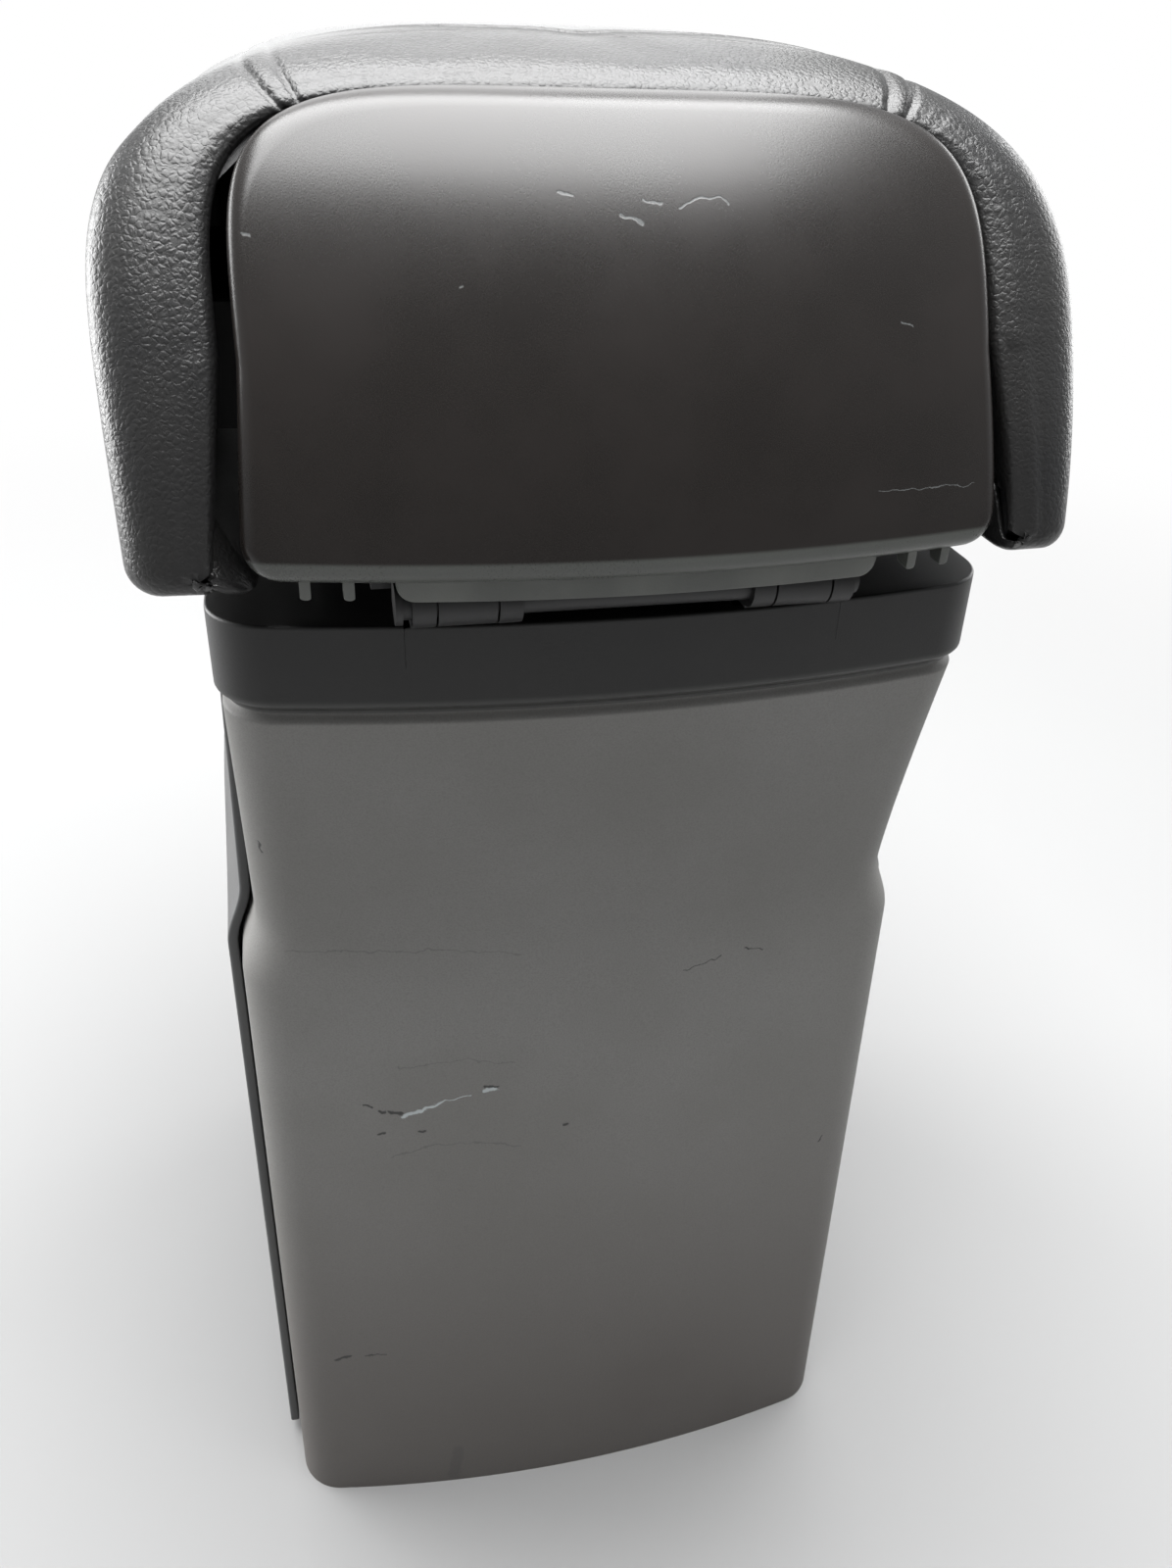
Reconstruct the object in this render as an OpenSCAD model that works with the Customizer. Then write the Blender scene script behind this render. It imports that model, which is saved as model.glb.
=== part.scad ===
// Car centre armrest: a pedestal with a storage bin, and a padded lid that hinges up at the
// back and slides forward. Seen from behind, +X is to the right, +Y points to the front of the
// car and +Z is up. The origin is on the floor of the pedestal, under the middle of the lid.

/* [Pedestal] */
// Height of the grey shells, from the floor to the collar
pedestal_h = 262; // [240:1:270]
// Width of the rear shell between the shoulder and the collar
waist_w = 146.6; // [140:0.2:150]
// Width of the rear shell at the shoulder
heel_w = 155; // [152:1:160]
// Width of the rear shell at the floor
base_w = 158; // [150:1:162]
// Height at which the shoulder is widest
heel_z = 185.5; // [165:0.5:195]
// Height over which the shoulder blends into the waist
heel_band = 16; // [10:1:20]
// Depth of the pedestal from its back to its front, at the waist
pedestal_l = 182; // [176:1:200]
// How far the back leans out from the waist up to the collar
back_sweep = 15; // [8:1:18]
// How far the foot of the back stands out behind the waist
foot_sweep = 3.2; // [0:0.2:6]
// Bulge of the back across its width
back_crown = 6; // [3:0.5:7]
// Radius of the upright corners of the shells
corner_r = 12; // [9:1:14]
// Wall thickness of the shells
shell_t = 2.2; // [1.8:0.1:2.6]
// Length of the rear shell's wings in front of its corners
wing_l = 26; // [22:1:30]

/* [Side panels] */
// Wall thickness of a side panel
panel_t = 2.4; // [2:0.1:2.8]
// Air between a side panel and the shell under it
panel_gap = 0.6; // [0.4:0.1:1]
// How far a side panel stands out past the shells at the shoulder and below it
panel_out = 3.4; // [2.8:0.1:4]
// How far a side panel stands out past the shells under the collar
panel_out_top = 0.7; // [0.4:0.1:1.2]
// Distance from the back's corner line to the rear edge of a side panel
panel_setback = 20; // [16:1:24]
// How far the shoulder line climbs from the rear edge of the panel to its front
shoulder_rise = 18; // [16:1:30]
// Height of the side panels' lower edge above the floor
panel_lift = 6; // [3:1:12]

/* [Collar] */
// Height of the collar
collar_h = 18; // [14:1:24]
// How far the collar stands out past the shells
collar_lap = 1; // [0.8:0.1:1.6]
// Wall thickness of the collar
collar_t = 2.4; // [2:0.1:3.2]
// Bevel along the collar's lower edge
collar_bevel = 2; // [1:0.5:3]
// Thickness of the deck round the bin's mouth
deck_t = 3; // [2.5:0.1:4]

/* [Storage bin] */
// Room between the bin's inside and the outside of the shells, on either side
bin_side = 17; // [15:0.5:22]
// Room between the bin's inside and the front of the shells
bin_nose = 20; // [16:0.5:26]
// Room behind the bin for the hinge
hinge_bay = 15; // [14:1:18]
// Depth of the bin below the deck
bin_depth = 98; // [80:1:104]
// Wall thickness of the bin
bin_t = 2.5; // [2:0.1:3]
// Radius of the bin's upright corners
bin_r = 12; // [8:1:16]
// Thickness of the rubber mat in the bin
mat_t = 2; // [1.5:0.1:3]

/* [Mounting bracket] */
// Sheet thickness of the steel bracket
steel_t = 3; // [2.5:0.1:3.5]
// How much wider the bracket is than the bin's inside
foot_extra = 4; // [2:0.5:5]
// Distance of the bracket's floor plate from the bin's front and back, inwards
foot_inset = 4; // [2:0.5:8]
// Distance of the floor bolts from the sides of the floor plate
bolt_edge_x = 16; // [14:0.5:22]
// Distance of the floor bolts from the ends of the floor plate
bolt_edge_y = 20; // [14:0.5:26]
// Radius of the floor bolt holes
bolt_r = 4.5; // [4:0.25:5]

/* [Hinge] */
// Radius of the hinge pin
pin_r = 3; // [2.5:0.25:3.25]
// Running clearance round the hinge pin
pin_gap = 0.05; // [0.03:0.01:0.08]
// Outer radius of the hinge barrels
barrel_r = 4.4; // [4.2:0.1:4.6]
// Distance of each hinge from the middle, to the centre of its moving barrel
hinge_x = 30; // [27:1:30]
// Length of a moving barrel
leaf_barrel = 10; // [8:1:12]
// Length of a fixed barrel
ear_barrel = 4; // [3:0.5:5]
// Play between neighbouring barrels
barrel_play = 0.4; // [0.3:0.1:0.6]
// Thickness of the moving hinge leaf
leaf_t = 2.5; // [2:0.1:3]

/* [Lid] */
// How far the pad reaches out in front of the collar
nose_overhang = 90; // [80:1:110]
// How far the end cap hangs out behind the collar
cap_overhang = 11; // [9.5:0.5:13]
// Height of the lid's plate above the collar
lid_gap = 2.5; // [2:0.1:4]
// Thickness of the lid's lower plate
liner_t = 3; // [2.5:0.1:3.5]
// Wall thickness of the lid's core and of the end cap
lid_wall = 2.5; // [2:0.1:3]

/* [End cap] */
// Air between a flank of the pad and the middle of the end cap's side
cap_gap = 7.7; // [7:0.1:9]
// Height of the end cap's lower lip above the collar
cap_lift = 11; // [10:0.5:12]
// Height of the end cap
cap_h = 70; // [67:1:71]
// Bulge of the end cap across its width
cap_crown = 7; // [5:0.5:8]
// How far the end cap's crown leans forward from its lip
cap_rake = 39; // [36:0.5:40]
// How far the end cap widens towards its lip, on either side
cap_flare = 2.2; // [1:0.1:3]
// Radius of the end cap's edges
cap_edge_r = 2.5; // [2:0.5:3]
// Radius of the end cap's lower lip
lip_r = 4; // [3:0.5:5]
// Step from the end cap down to the sleeve under the pad
sleeve_step = 6.5; // [6:0.1:6.8]
// Length of the end cap's sleeve, in front of its crown
sleeve_l = 56; // [40:1:70]

/* [Pad] */
// Width of the pad
pad_w = 172; // [168:1:178]
// Height of the pad above the lower edge of its flanks
pad_h = 80.5; // [79.5:0.5:84]
// Height of the flanks' lower edge above the collar
flank_lift = 7.5; // [6:0.5:9]
// Thickness of the hanging flanks
flank_w = 14.5; // [13.5:0.5:15]
// Thickness of the pad over its carrier at the crown
crown_t = 10.5; // [10:0.5:12]
// Radius of the pad's rolled rear rim
rim_r = 8; // [6:0.5:9]
// How far the rim's crown lies in front of the flanks' rear ends
rim_rake = 50; // [47:0.5:51]
// How far the pad's top falls from its rim to its nose
pad_fall = 4; // [0:0.5:5]
// Thickness of the cover
cover_t = 1.8; // [1.5:0.1:2.4]
// Wall thickness of the pad's carrier
carrier_t = 2.5; // [2:0.1:3]
// Length of the rounded nose of the pad
nose_l = 52; // [40:1:60]
// Distance of the seams from the middle of the pad
seam_x = 57; // [50:1:60]
// Depth of the seams
seam_d = 1.2; // [0.6:0.1:1.4]

/* [Slide] */
// Travel of the pad
slide_travel = 70; // [50:1:72]
// Height of a rail
rail_h = 16; // [14:1:20]
// Length of a runner
runner_l = 90; // [80:1:100]
// Air between a runner and its rail
runner_gap = 0.35; // [0.3:0.05:0.5]

/* [Latch] */
// Width of the release paddle
paddle_w = 44; // [36:1:56]
// Radius of the latch's pivot pin
latch_pin_r = 2; // [1.75:0.25:2.5]
// Radius of the screw shanks
screw_r = 2; // [1.75:0.25:2.25]

/* [Hidden] */

// Small amount by which a cut runs past the face that it opens
eps = 0.5;
// Clearance between pieces of one body that lie against each other
fit = 0.3;

// Heights
waist_z = heel_z + heel_band;
neck_h = 2.2;
collar_top = pedestal_h + collar_h;
liner_z = collar_top + lid_gap;
leaf_z = liner_z + liner_t;
cap_z = collar_top + cap_lift;
cap_top = cap_z + cap_h;
flank_z = collar_top + flank_lift;
pad_top = flank_z + pad_h;
axis_z = leaf_z;

// Places along the car, from the back to the front
lid_l = cap_overhang + back_sweep + pedestal_l + 2 * collar_lap + nose_overhang;
lid_back = -lid_l / 2;
lid_front = lid_l / 2;
collar_back = lid_back + cap_overhang;
waist_back = collar_back + collar_lap + back_sweep;
waist_front = waist_back + pedestal_l;
collar_front = waist_front + collar_lap;
axis_y = collar_back;
bin_w = waist_w - 2 * bin_side;
bin_l = pedestal_l - hinge_bay - bin_t - bin_nose;
bin_back = waist_back + hinge_bay;
bin_mid = bin_back + bin_t + bin_l / 2;
rim_y = lid_back + 8;

// Step by which the shells' top is set in, to fit inside the collar
neck_d = collar_t + fit - collar_lap;

// Width between the insides of the flanks, and of the end cap
flank_gap = pad_w - 2 * flank_w;
cap_w = flank_gap - 2 * cap_gap;

// Arch outlines of the lid, from the inside out: spring line height and roundness
arch_spring = 0.46;
pad_power = 3.1;
inner_power = 4.2;
cap_power = 4.8;

// Numbers of steps in the curved outlines
back_n = 8;
corner_n = 5;
arch_n = 24;
roll_n = 4;
nose_n = 7;

function lerp(a, b, t) = a + (b - a) * t;
function clamp01(t) = min(max(t, 0), 1);
function smooth(t) = let(c = clamp01(t)) c * c * (3 - 2 * c);
function flat(lists) = [for (part = lists) each part];

// Wall through rings of points: each ring holds the outer face's points and then, in the opposite
// order, the inner face's. A strip of triangles between the two closes each end.
module loft_wall(rings) {
    n = len(rings[0]);
    m = len(rings);
    k = n / 2;
    sides = [for (i = [0:m - 2], j = [0:n - 1])
        let(a = i * n + j, b = i * n + (j + 1) % n, c = a + n, d = b + n)
        each [[c, d, b], [c, b, a]]];
    first = [for (j = [0:k - 2]) each [[j, j + 1, n - 2 - j], [j, n - 2 - j, n - 1 - j]]];
    last = [for (face = first) [for (j = [2:-1:0]) (m - 1) * n + face[j]]];
    polyhedron(flat(rings), concat(first, sides, last), convexity = 8);
}

// Solid through rings of points, with the two ends closed by fans to a point; each ring runs
// counter-clockwise seen from the last ring
module loft_fan(rings, tip_a, tip_b) {
    n = len(rings[0]);
    m = len(rings);
    sides = [for (i = [0:m - 2], j = [0:n - 1])
        let(a = i * n + j, b = i * n + (j + 1) % n, c = a + n, d = b + n)
        each [[c, d, b], [c, b, a]]];
    fan_a = [for (j = [0:n - 1]) [m * n, j, (j + 1) % n]];
    fan_b = [for (j = [0:n - 1]) [m * n + 1, (m - 1) * n + (j + 1) % n, (m - 1) * n + j]];
    polyhedron(concat(flat(rings), [tip_a, tip_b]), concat(fan_a, sides, fan_b), convexity = 8);
}

// Rounded rectangle in the plane, from its middle
module round_rect(w, l, r) {
    translate([-w / 2 + r, -l / 2]) square([w - 2 * r, l]);
    translate([-w / 2, -l / 2 + r]) square([w, l - 2 * r]);
    for (x = [-1, 1], y = [-1, 1])
        translate([x * (w / 2 - r), y * (l / 2 - r)]) circle(r = r, $fn = 48);
}

// Block given by its lowest and highest corners
module block(low, high) {
    translate(low) cube(high - low);
}

// Half-width of the shells; the shoulder line climbs by rise towards the front
function lower_half(z) = lerp(base_w, heel_w, clamp01(z / heel_z)) / 2;
function shell_half(z, rise) =
    lerp(lower_half(z), waist_w / 2, smooth((z - heel_z - rise) / (heel_band + rise / 3)));

// Middle of the back at a height
function back_y(z) = z < waist_z
    ? waist_back - foot_sweep * (1 - z / waist_z)
    : waist_back - back_sweep * pow((z - waist_z) / (pedestal_h - waist_z), 1.2);

// Step of the shells under the side panels, so that the panel stands out by panel_lip only
function panel_lip(z) = lerp(panel_out, panel_out_top, clamp01((z - waist_z) / (pedestal_h - waist_z)));
function joggle(z) = max(panel_t + panel_gap - panel_lip(z), 0);

// Right half of a wrap seen from above: crowned back, round corner, straight wing to wing_y
function wrap_half(half, back, crown, r, wing_y) =
    let(a = atan(2 * crown / (half - r)), xe = half - r * (1 - sin(a)),
        cx = half - r, cy = back + crown + r * cos(a))
    concat(
        [for (i = [0:back_n]) [xe * i / back_n, back + crown * pow(i / back_n, 2)]],
        [for (i = [1:corner_n]) let(t = lerp(a - 90, 0, i / corner_n)) [cx + r * cos(t), cy + r * sin(t)]],
        [[half, wing_y]]);
function mirror_x(pts) = [for (i = [len(pts) - 1:-1:0]) [-pts[i].x, pts[i].y]];
function wrap(half, back, crown, r, wing_y) =
    let(right = wrap_half(half, back, crown, r, wing_y))
    concat(mirror_x([for (i = [1:len(right) - 1]) right[i]]), right);
function reversed(pts) = [for (i = [len(pts) - 1:-1:0]) pts[i]];
function at_z(pts, z) = [for (p = pts) [p.x, p.y, z]];

// The same with a step in each wing, in by d at step_y
function stepped(pts, step_y, d) =
    let(n = len(pts), a = pts[0], b = pts[n - 1])
    concat([[a.x + d, a.y], [a.x + d, step_y + 1], [a.x, step_y]], [for (i = [1:n - 2]) pts[i]],
        [[b.x, step_y], [b.x - d, step_y + 1], [b.x - d, b.y]]);

// Heights at which the lofted shells get a section
shell_levels = [0, heel_z * 0.33, heel_z * 0.66, heel_z * 0.9, heel_z, heel_z + heel_band * 0.25,
    heel_z + heel_band * 0.5, heel_z + heel_band * 0.75, waist_z, lerp(waist_z, pedestal_h, 0.25),
    lerp(waist_z, pedestal_h, 0.5), lerp(waist_z, pedestal_h, 0.75), pedestal_h - neck_h];

// Height over which the shells lap up inside the collar
shell_lap = collar_h - deck_t - fit;

// Sections of a shell: a height and the inset that the neck has there
shell_stations = concat([for (z = shell_levels) [z, 0]],
    [[pedestal_h - 0.2, neck_d], [pedestal_h + shell_lap, neck_d]]);

module rear_shell_wall() {
    rings = [for (s = shell_stations)
        let(zc = min(s[0], pedestal_h), half = shell_half(zc, 0) - s[1], back = back_y(zc) + s[1],
            r = corner_r - s[1], wing = back_y(zc) + back_crown + corner_r + wing_l,
            step_y = panel_rear(zc) - 1.5, d = joggle(zc),
            outer = stepped(wrap(half, back, back_crown, r, wing), step_y, d),
            inner = stepped(wrap(half - shell_t, back + shell_t, back_crown, r - shell_t, wing),
                step_y - 1, d))
        at_z(concat(outer, reversed(inner)), s[0])];
    loft_wall(rings);
}

module rear_shell() {
    color([0.42, 0.42, 0.41])
        difference() {
            union() {
                rear_shell_wall();
                rear_bosses();
            }
            post_screw_places() rotate([90, 0, 0]) translate([0, 0, steel_t - eps])
                cylinder(r = screw_r + 0.1, h = pilot + eps, $fn = 32);
        }
}

module front_shell() {
    wing = wing_l + corner_r - waist_front;
    rings = [for (s = shell_stations)
        let(zc = min(s[0], pedestal_h), half = shell_half(zc, shoulder_rise) - s[1],
            back = s[1] - waist_front, r = corner_r - s[1], step_y = -panel_front - 2.5, d = joggle(zc),
            outer = stepped(wrap(half, back, back_crown, r, wing), step_y, d),
            inner = stepped(wrap(half - shell_t, back + shell_t, back_crown, r - shell_t, wing),
                step_y - 1, d))
        at_z([for (p = concat(outer, reversed(inner))) [-p.x, -p.y]], s[0])];
    color([0.42, 0.42, 0.41])
        difference() {
            union() {
                loft_wall(rings);
                front_bosses();
            }
            front_screw_places() rotate([-90, 0, 0]) translate([0, 0, -eps])
                cylinder(r = screw_r + 0.1, h = pilot + eps, $fn = 32);
        }
}

// A side panel follows the shoulder line, which climbs and fades out towards the front
panel_nose = 6;
panel_front = waist_front - back_crown - corner_r - panel_nose;
panel_n = 9;
panel_fade = 75;
function panel_rear(z) = back_y(z) + back_crown + panel_setback;
function rise_at(y) = shoulder_rise * smooth((y - panel_rear(heel_z)) / panel_fade);
function panel_half(y, z) = shell_half(z, rise_at(y)) + panel_lip(z);

module side_panel() {
    levels = concat([panel_lift], [for (i = [1:len(shell_levels) - 1]) shell_levels[i]]);
    rings = [for (z = levels)
        let(y0 = panel_rear(z), ys = [for (i = [0:panel_n]) lerp(y0, panel_front, i / panel_n)])
        at_z(concat([for (y = ys) [panel_half(y, z), y]],
            [for (i = [panel_n:-1:0]) [panel_half(ys[i], z) - panel_t, ys[i]]]), z)];
    loft_wall(rings);
}

module side_panel_right() {
    color([0.2, 0.2, 0.2])
        side_panel();
}

module side_panel_left() {
    color([0.2, 0.2, 0.2])
        mirror([1, 0, 0]) side_panel();
}

// Outline of the collar at an inset from its outer face
collar_half = waist_w / 2 + collar_lap;
collar_r = corner_r + collar_lap;
function collar_outline(d) =
    let(back = wrap(collar_half - d, collar_back + d, back_crown, collar_r - d, bin_mid),
        front = wrap(collar_half - d, d - collar_front, back_crown, collar_r - d, -bin_mid))
    concat([for (i = [1:len(back) - 1]) back[i]], [for (i = [1:len(front) - 1]) [-front[i].x, -front[i].y]]);

module collar_wall_cut() {
    translate([0, 0, pedestal_h - eps]) linear_extrude(collar_h - deck_t + eps)
        polygon(collar_outline(collar_t));
}

// Slots in the deck, over the fixed ears of the hinge
ear_x = leaf_barrel / 2 + barrel_play + ear_barrel / 2;
module deck_slots() {
    for (x = [-1, 1])
        block([x * hinge_x - ear_x - ear_barrel / 2 - 1, axis_y + collar_t, collar_top - deck_t - eps],
            [x * hinge_x + ear_x + ear_barrel / 2 + 1, bin_back - 1.5, collar_top + eps]);
}

module collar() {
    low = at_z(collar_outline(collar_bevel), pedestal_h);
    bevel = at_z(collar_outline(0), pedestal_h + collar_bevel);
    high = at_z(collar_outline(0), collar_top - 1);
    top = at_z(collar_outline(1), collar_top);
    color([0.12, 0.12, 0.12])
        difference() {
            loft_fan([low, bevel, high, top], [0, bin_mid, pedestal_h], [0, bin_mid, collar_top]);
            collar_wall_cut();
            translate([0, bin_mid, pedestal_h]) linear_extrude(collar_h + eps)
                round_rect(bin_w, bin_l, bin_r);
            deck_slots();
        }
}

// The bin hangs under the deck by its rim and stands on the bracket
bin_top = collar_top - deck_t - fit;
bin_floor = bin_top - bin_depth;
bin_rim = 5;

module storage_bin() {
    color([0.1, 0.1, 0.1])
        difference() {
            union() {
                translate([0, bin_mid, bin_floor - bin_t]) linear_extrude(bin_depth + bin_t)
                    round_rect(bin_w + 2 * bin_t, bin_l + 2 * bin_t, bin_r + bin_t);
                translate([0, bin_mid, bin_top - bin_t]) linear_extrude(bin_t)
                    round_rect(bin_w + 2 * bin_rim, bin_l + 2 * bin_rim, bin_r + bin_rim);
            }
            translate([0, bin_mid, bin_floor]) linear_extrude(bin_depth + eps)
                round_rect(bin_w, bin_l, bin_r);
            bin_screw_places() translate([0, 0, bin_floor - bin_t - eps])
                cylinder(r = screw_r + 0.1, h = bin_t + 2 * eps, $fn = 32);
            front_screw_places() rotate([-90, 0, 0]) translate([0, 0, -bin_t - eps])
                cylinder(r = screw_r + 0.1, h = bin_t + 2 * eps, $fn = 32);
        }
}

// Screws that hold the bin down on the bracket's flanges
module bin_screw_places() {
    for (x = [-1, 1], y = [-1, 1])
        translate([x * (web_x - flange_w / 2), foot_mid + y * flange_y, 0]) children();
}

// Screws through the bin's front wall into the front shell's bosses
bin_front = bin_mid + bin_l / 2 + bin_t;
front_screw_x = 0.27 * bin_w;
front_screw_z = [18, 68];
module front_screw_places() {
    for (x = [-1, 1], z = front_screw_z)
        translate([x * front_screw_x, bin_front, bin_floor + z]) children();
}

module bin_mat() {
    color([0.06, 0.06, 0.06])
        translate([0, bin_mid, bin_floor]) linear_extrude(mat_t)
            round_rect(bin_w - 2, bin_l - 2, bin_r - 1);
}

// Folded steel bracket: floor plate, two side webs with top flanges, and a back plate
foot_w = bin_w + foot_extra;
foot_l = bin_l - 2 * foot_inset;
foot_mid = bin_mid;
bolt_dx = foot_w - 2 * bolt_edge_x;
bolt_dy = foot_l - 2 * bolt_edge_y;
post_y = bin_back - fit;
post_w = foot_w * 0.78;
post_drop = 40;
post_top = collar_top - post_drop;
web_x = foot_w / 2;
web_top = bin_floor - bin_t;
web_inset = 12;
web_l = foot_l - 2 * web_inset;
flange_w = 16;
flange_end = 24;
flange_y = web_l / 2 - flange_end;
web_hole_r = 0.39 * min(web_l, web_top);
module floor_holes() {
    for (x = [-1, 1], y = [-1, 1])
        translate([x * bolt_dx / 2, foot_mid + y * bolt_dy / 2, -eps])
            cylinder(r = bolt_r, h = steel_t + 2 * eps, $fn = 48);
}

module mounting_bracket() {
    color([0.3, 0.3, 0.32])
        difference() {
            union() {
                block([-web_x, foot_mid - foot_l / 2, 0], [web_x, foot_mid + foot_l / 2, steel_t]);
                for (x = [-1, 1]) {
                    block([x > 0 ? web_x - steel_t : -web_x, foot_mid - web_l / 2, 0],
                        [x > 0 ? web_x : steel_t - web_x, foot_mid + web_l / 2, web_top]);
                    block([x > 0 ? web_x - flange_w : -web_x, foot_mid - web_l / 2, web_top - steel_t],
                        [x > 0 ? web_x : flange_w - web_x, foot_mid + web_l / 2, web_top]);
                }
                block([-post_w / 2, post_y - steel_t, 0], [post_w / 2, post_y, post_top]);
                block([-post_w / 2, post_y - steel_t, 0],
                    [post_w / 2, foot_mid - foot_l / 2 + eps, steel_t]);
            }
            floor_holes();
            bin_screw_places() translate([0, 0, web_top - steel_t - eps])
                cylinder(r = screw_r + 0.2, h = steel_t + 2 * eps, $fn = 32);
            post_screw_places() rotate([90, 0, 0]) translate([0, 0, -eps])
                cylinder(r = screw_r + 0.2, h = steel_t + 2 * eps, $fn = 32);
            hinge_screw_places() translate([0, post_y + eps, 0]) rotate([90, 0, 0])
                cylinder(r = screw_r + 0.2, h = steel_t + 2 * eps, $fn = 32);
            for (x = [-1, 1])
                translate([x * web_x, foot_mid, web_top / 2]) rotate([0, 90, 0])
                    cylinder(r = web_hole_r, h = 4 * steel_t, center = true, $fn = 64);
            translate([0, post_y, web_top / 2]) rotate([90, 0, 0])
                cylinder(r = post_w / 4, h = 4 * steel_t, center = true, $fn = 64);
        }
}

// Pan-head screw along +Z, head at the origin and shank up through the joint
module screw(grip) {
    translate([0, 0, -1.8]) cylinder(r = 2 * screw_r, h = 1.8, $fn = 32);
    translate([0, 0, -eps / 5]) cylinder(r = screw_r, h = grip, $fn = 32);
}

module bracket_screws() {
    color([0.5, 0.5, 0.5])
        bin_screw_places() translate([0, 0, web_top - steel_t]) screw(steel_t + bin_t);
}

// Screws through the bracket's post into the rear shell's bosses
boss_r = 4;
post_screw_x = post_w / 2 - 2 * boss_r;
post_screw_z = [28, web_top - 12];
module post_screw_places() {
    for (x = [-1, 1], z = post_screw_z)
        translate([x * post_screw_x, post_y, z]) children();
}

// Bosses on the insides of the shells, with a pilot hole for each screw
pilot = 8;
function crown_at(x) = back_crown * pow(x / (waist_w / 2 - corner_r), 2);
module rear_bosses() {
    boss_front = post_y - steel_t;
    for (x = [-1, 1], z = [0, 1])
        let(h = boss_front - back_y(post_screw_z[z]) - crown_at(post_screw_x) - shell_t / 2)
        translate([x * post_screw_x, boss_front, post_screw_z[z]]) rotate([90, 0, 0])
            cylinder(r = boss_r, h = h, $fn = 32);
}

module front_bosses() {
    front_screw_places() rotate([-90, 0, 0])
        cylinder(r = boss_r, h = waist_front - bin_front - crown_at(front_screw_x) - shell_t / 2, $fn = 32);
}

module shell_screws() {
    color([0.5, 0.5, 0.5]) {
        post_screw_places() rotate([90, 0, 0]) screw(steel_t + pilot - 1);
        front_screw_places() translate([0, -bin_t, 0]) rotate([-90, 0, 0]) screw(bin_t + pilot - 1);
    }
}

// Fixed half of the hinge: a plate on the back post, and two pairs of ears
ear_drop = 14;
plate_y = post_y - steel_t;
hinge_plate_h = 44;
hinge_screw_edge = 10;
module hinge_screw_places() {
    for (x = [-1, 1], z = [hinge_screw_edge, hinge_plate_h - hinge_screw_edge])
        translate([x * hinge_x, 0, post_top - z]) children();
}

module hinge_bracket() {
    plate_top = post_top;
    color([0.15, 0.15, 0.16])
        difference() {
            union() {
                block([-post_w / 2, plate_y - steel_t, plate_top - hinge_plate_h],
                    [post_w / 2, plate_y, plate_top]);
                for (x = [-1, 1], s = [-1, 1])
                    translate([x * hinge_x + s * ear_x - ear_barrel / 2, 0, 0])
                        rotate([90, 0, 90]) linear_extrude(ear_barrel) ear_profile(plate_top);
            }
            translate([0, axis_y, axis_z]) rotate([0, 90, 0])
                cylinder(r = pin_r + pin_gap, h = 2 * post_w, center = true, $fn = 48);
            hinge_screw_places() translate([0, plate_y + eps, 0]) rotate([90, 0, 0])
                cylinder(r = screw_r + 0.2, h = steel_t + 2 * eps, $fn = 32);
        }
}

// Side view of an ear: an eye round the pin, an arm over the collar's back and a leg down to the plate
module ear_profile(plate_top) {
    arm_low = collar_top + 0.6;
    leg_y = waist_back + 3;
    translate([axis_y, axis_z]) circle(r = barrel_r, $fn = 48);
    translate([axis_y, arm_low]) square([plate_y - axis_y, axis_z - 0.8 - arm_low]);
    translate([leg_y, plate_top - ear_drop]) square([plate_y - leg_y, axis_z - 0.8 - plate_top + ear_drop]);
}

module hinge_screws() {
    color([0.5, 0.5, 0.5])
        hinge_screw_places() translate([0, plate_y - steel_t, 0]) rotate([-90, 0, 0])
            screw(2 * steel_t);
}

module hinge_pin() {
    pin_l = 2 * (hinge_x + ear_x + ear_barrel / 2) + 3;
    color([0.6, 0.6, 0.6])
        translate([-pin_l / 2, axis_y, axis_z]) rotate([0, 90, 0]) {
            cylinder(r = pin_r, h = pin_l, $fn = 48);
            translate([0, 0, -1.2]) cylinder(r = pin_r + 0.9, h = 1.2, $fn = 48);
        }
}

// Moving half of the hinge: a plate between the liner and the core, with two barrels
leaf_y = axis_y + barrel_r + 2;
leaf_l = 42;
leaf_w = 2 * (hinge_x + ear_x + ear_barrel + 4);
leaf_screw_edge = 8;
module leaf_screw_places() {
    for (x = [-1, 1], y = [leaf_l / 2, leaf_l - leaf_screw_edge])
        translate([x * hinge_x, leaf_y + y, 0]) children();
}

module hinge_leaf() {
    color([0.15, 0.15, 0.16])
        difference() {
            union() {
                block([-leaf_w / 2, leaf_y, leaf_z], [leaf_w / 2, leaf_y + leaf_l, leaf_z + leaf_t]);
                for (x = [-1, 1])
                    translate([x * hinge_x - leaf_barrel / 2, 0, 0]) {
                        translate([0, axis_y, axis_z]) rotate([0, 90, 0])
                            cylinder(r = barrel_r, h = leaf_barrel, $fn = 48);
                        block([0, axis_y, leaf_z], [leaf_barrel, leaf_y + eps, leaf_z + leaf_t]);
                    }
            }
            translate([0, axis_y, axis_z]) rotate([0, 90, 0])
                cylinder(r = pin_r + pin_gap, h = 2 * leaf_w, center = true, $fn = 48);
            leaf_screw_places() translate([0, 0, leaf_z - eps])
                cylinder(r = screw_r + 0.2, h = leaf_t + 2 * eps, $fn = 32);
        }
}

module leaf_screws() {
    color([0.5, 0.5, 0.5])
        leaf_screw_places() translate([0, 0, leaf_z]) screw(leaf_t + lid_wall + 3);
}

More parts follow.
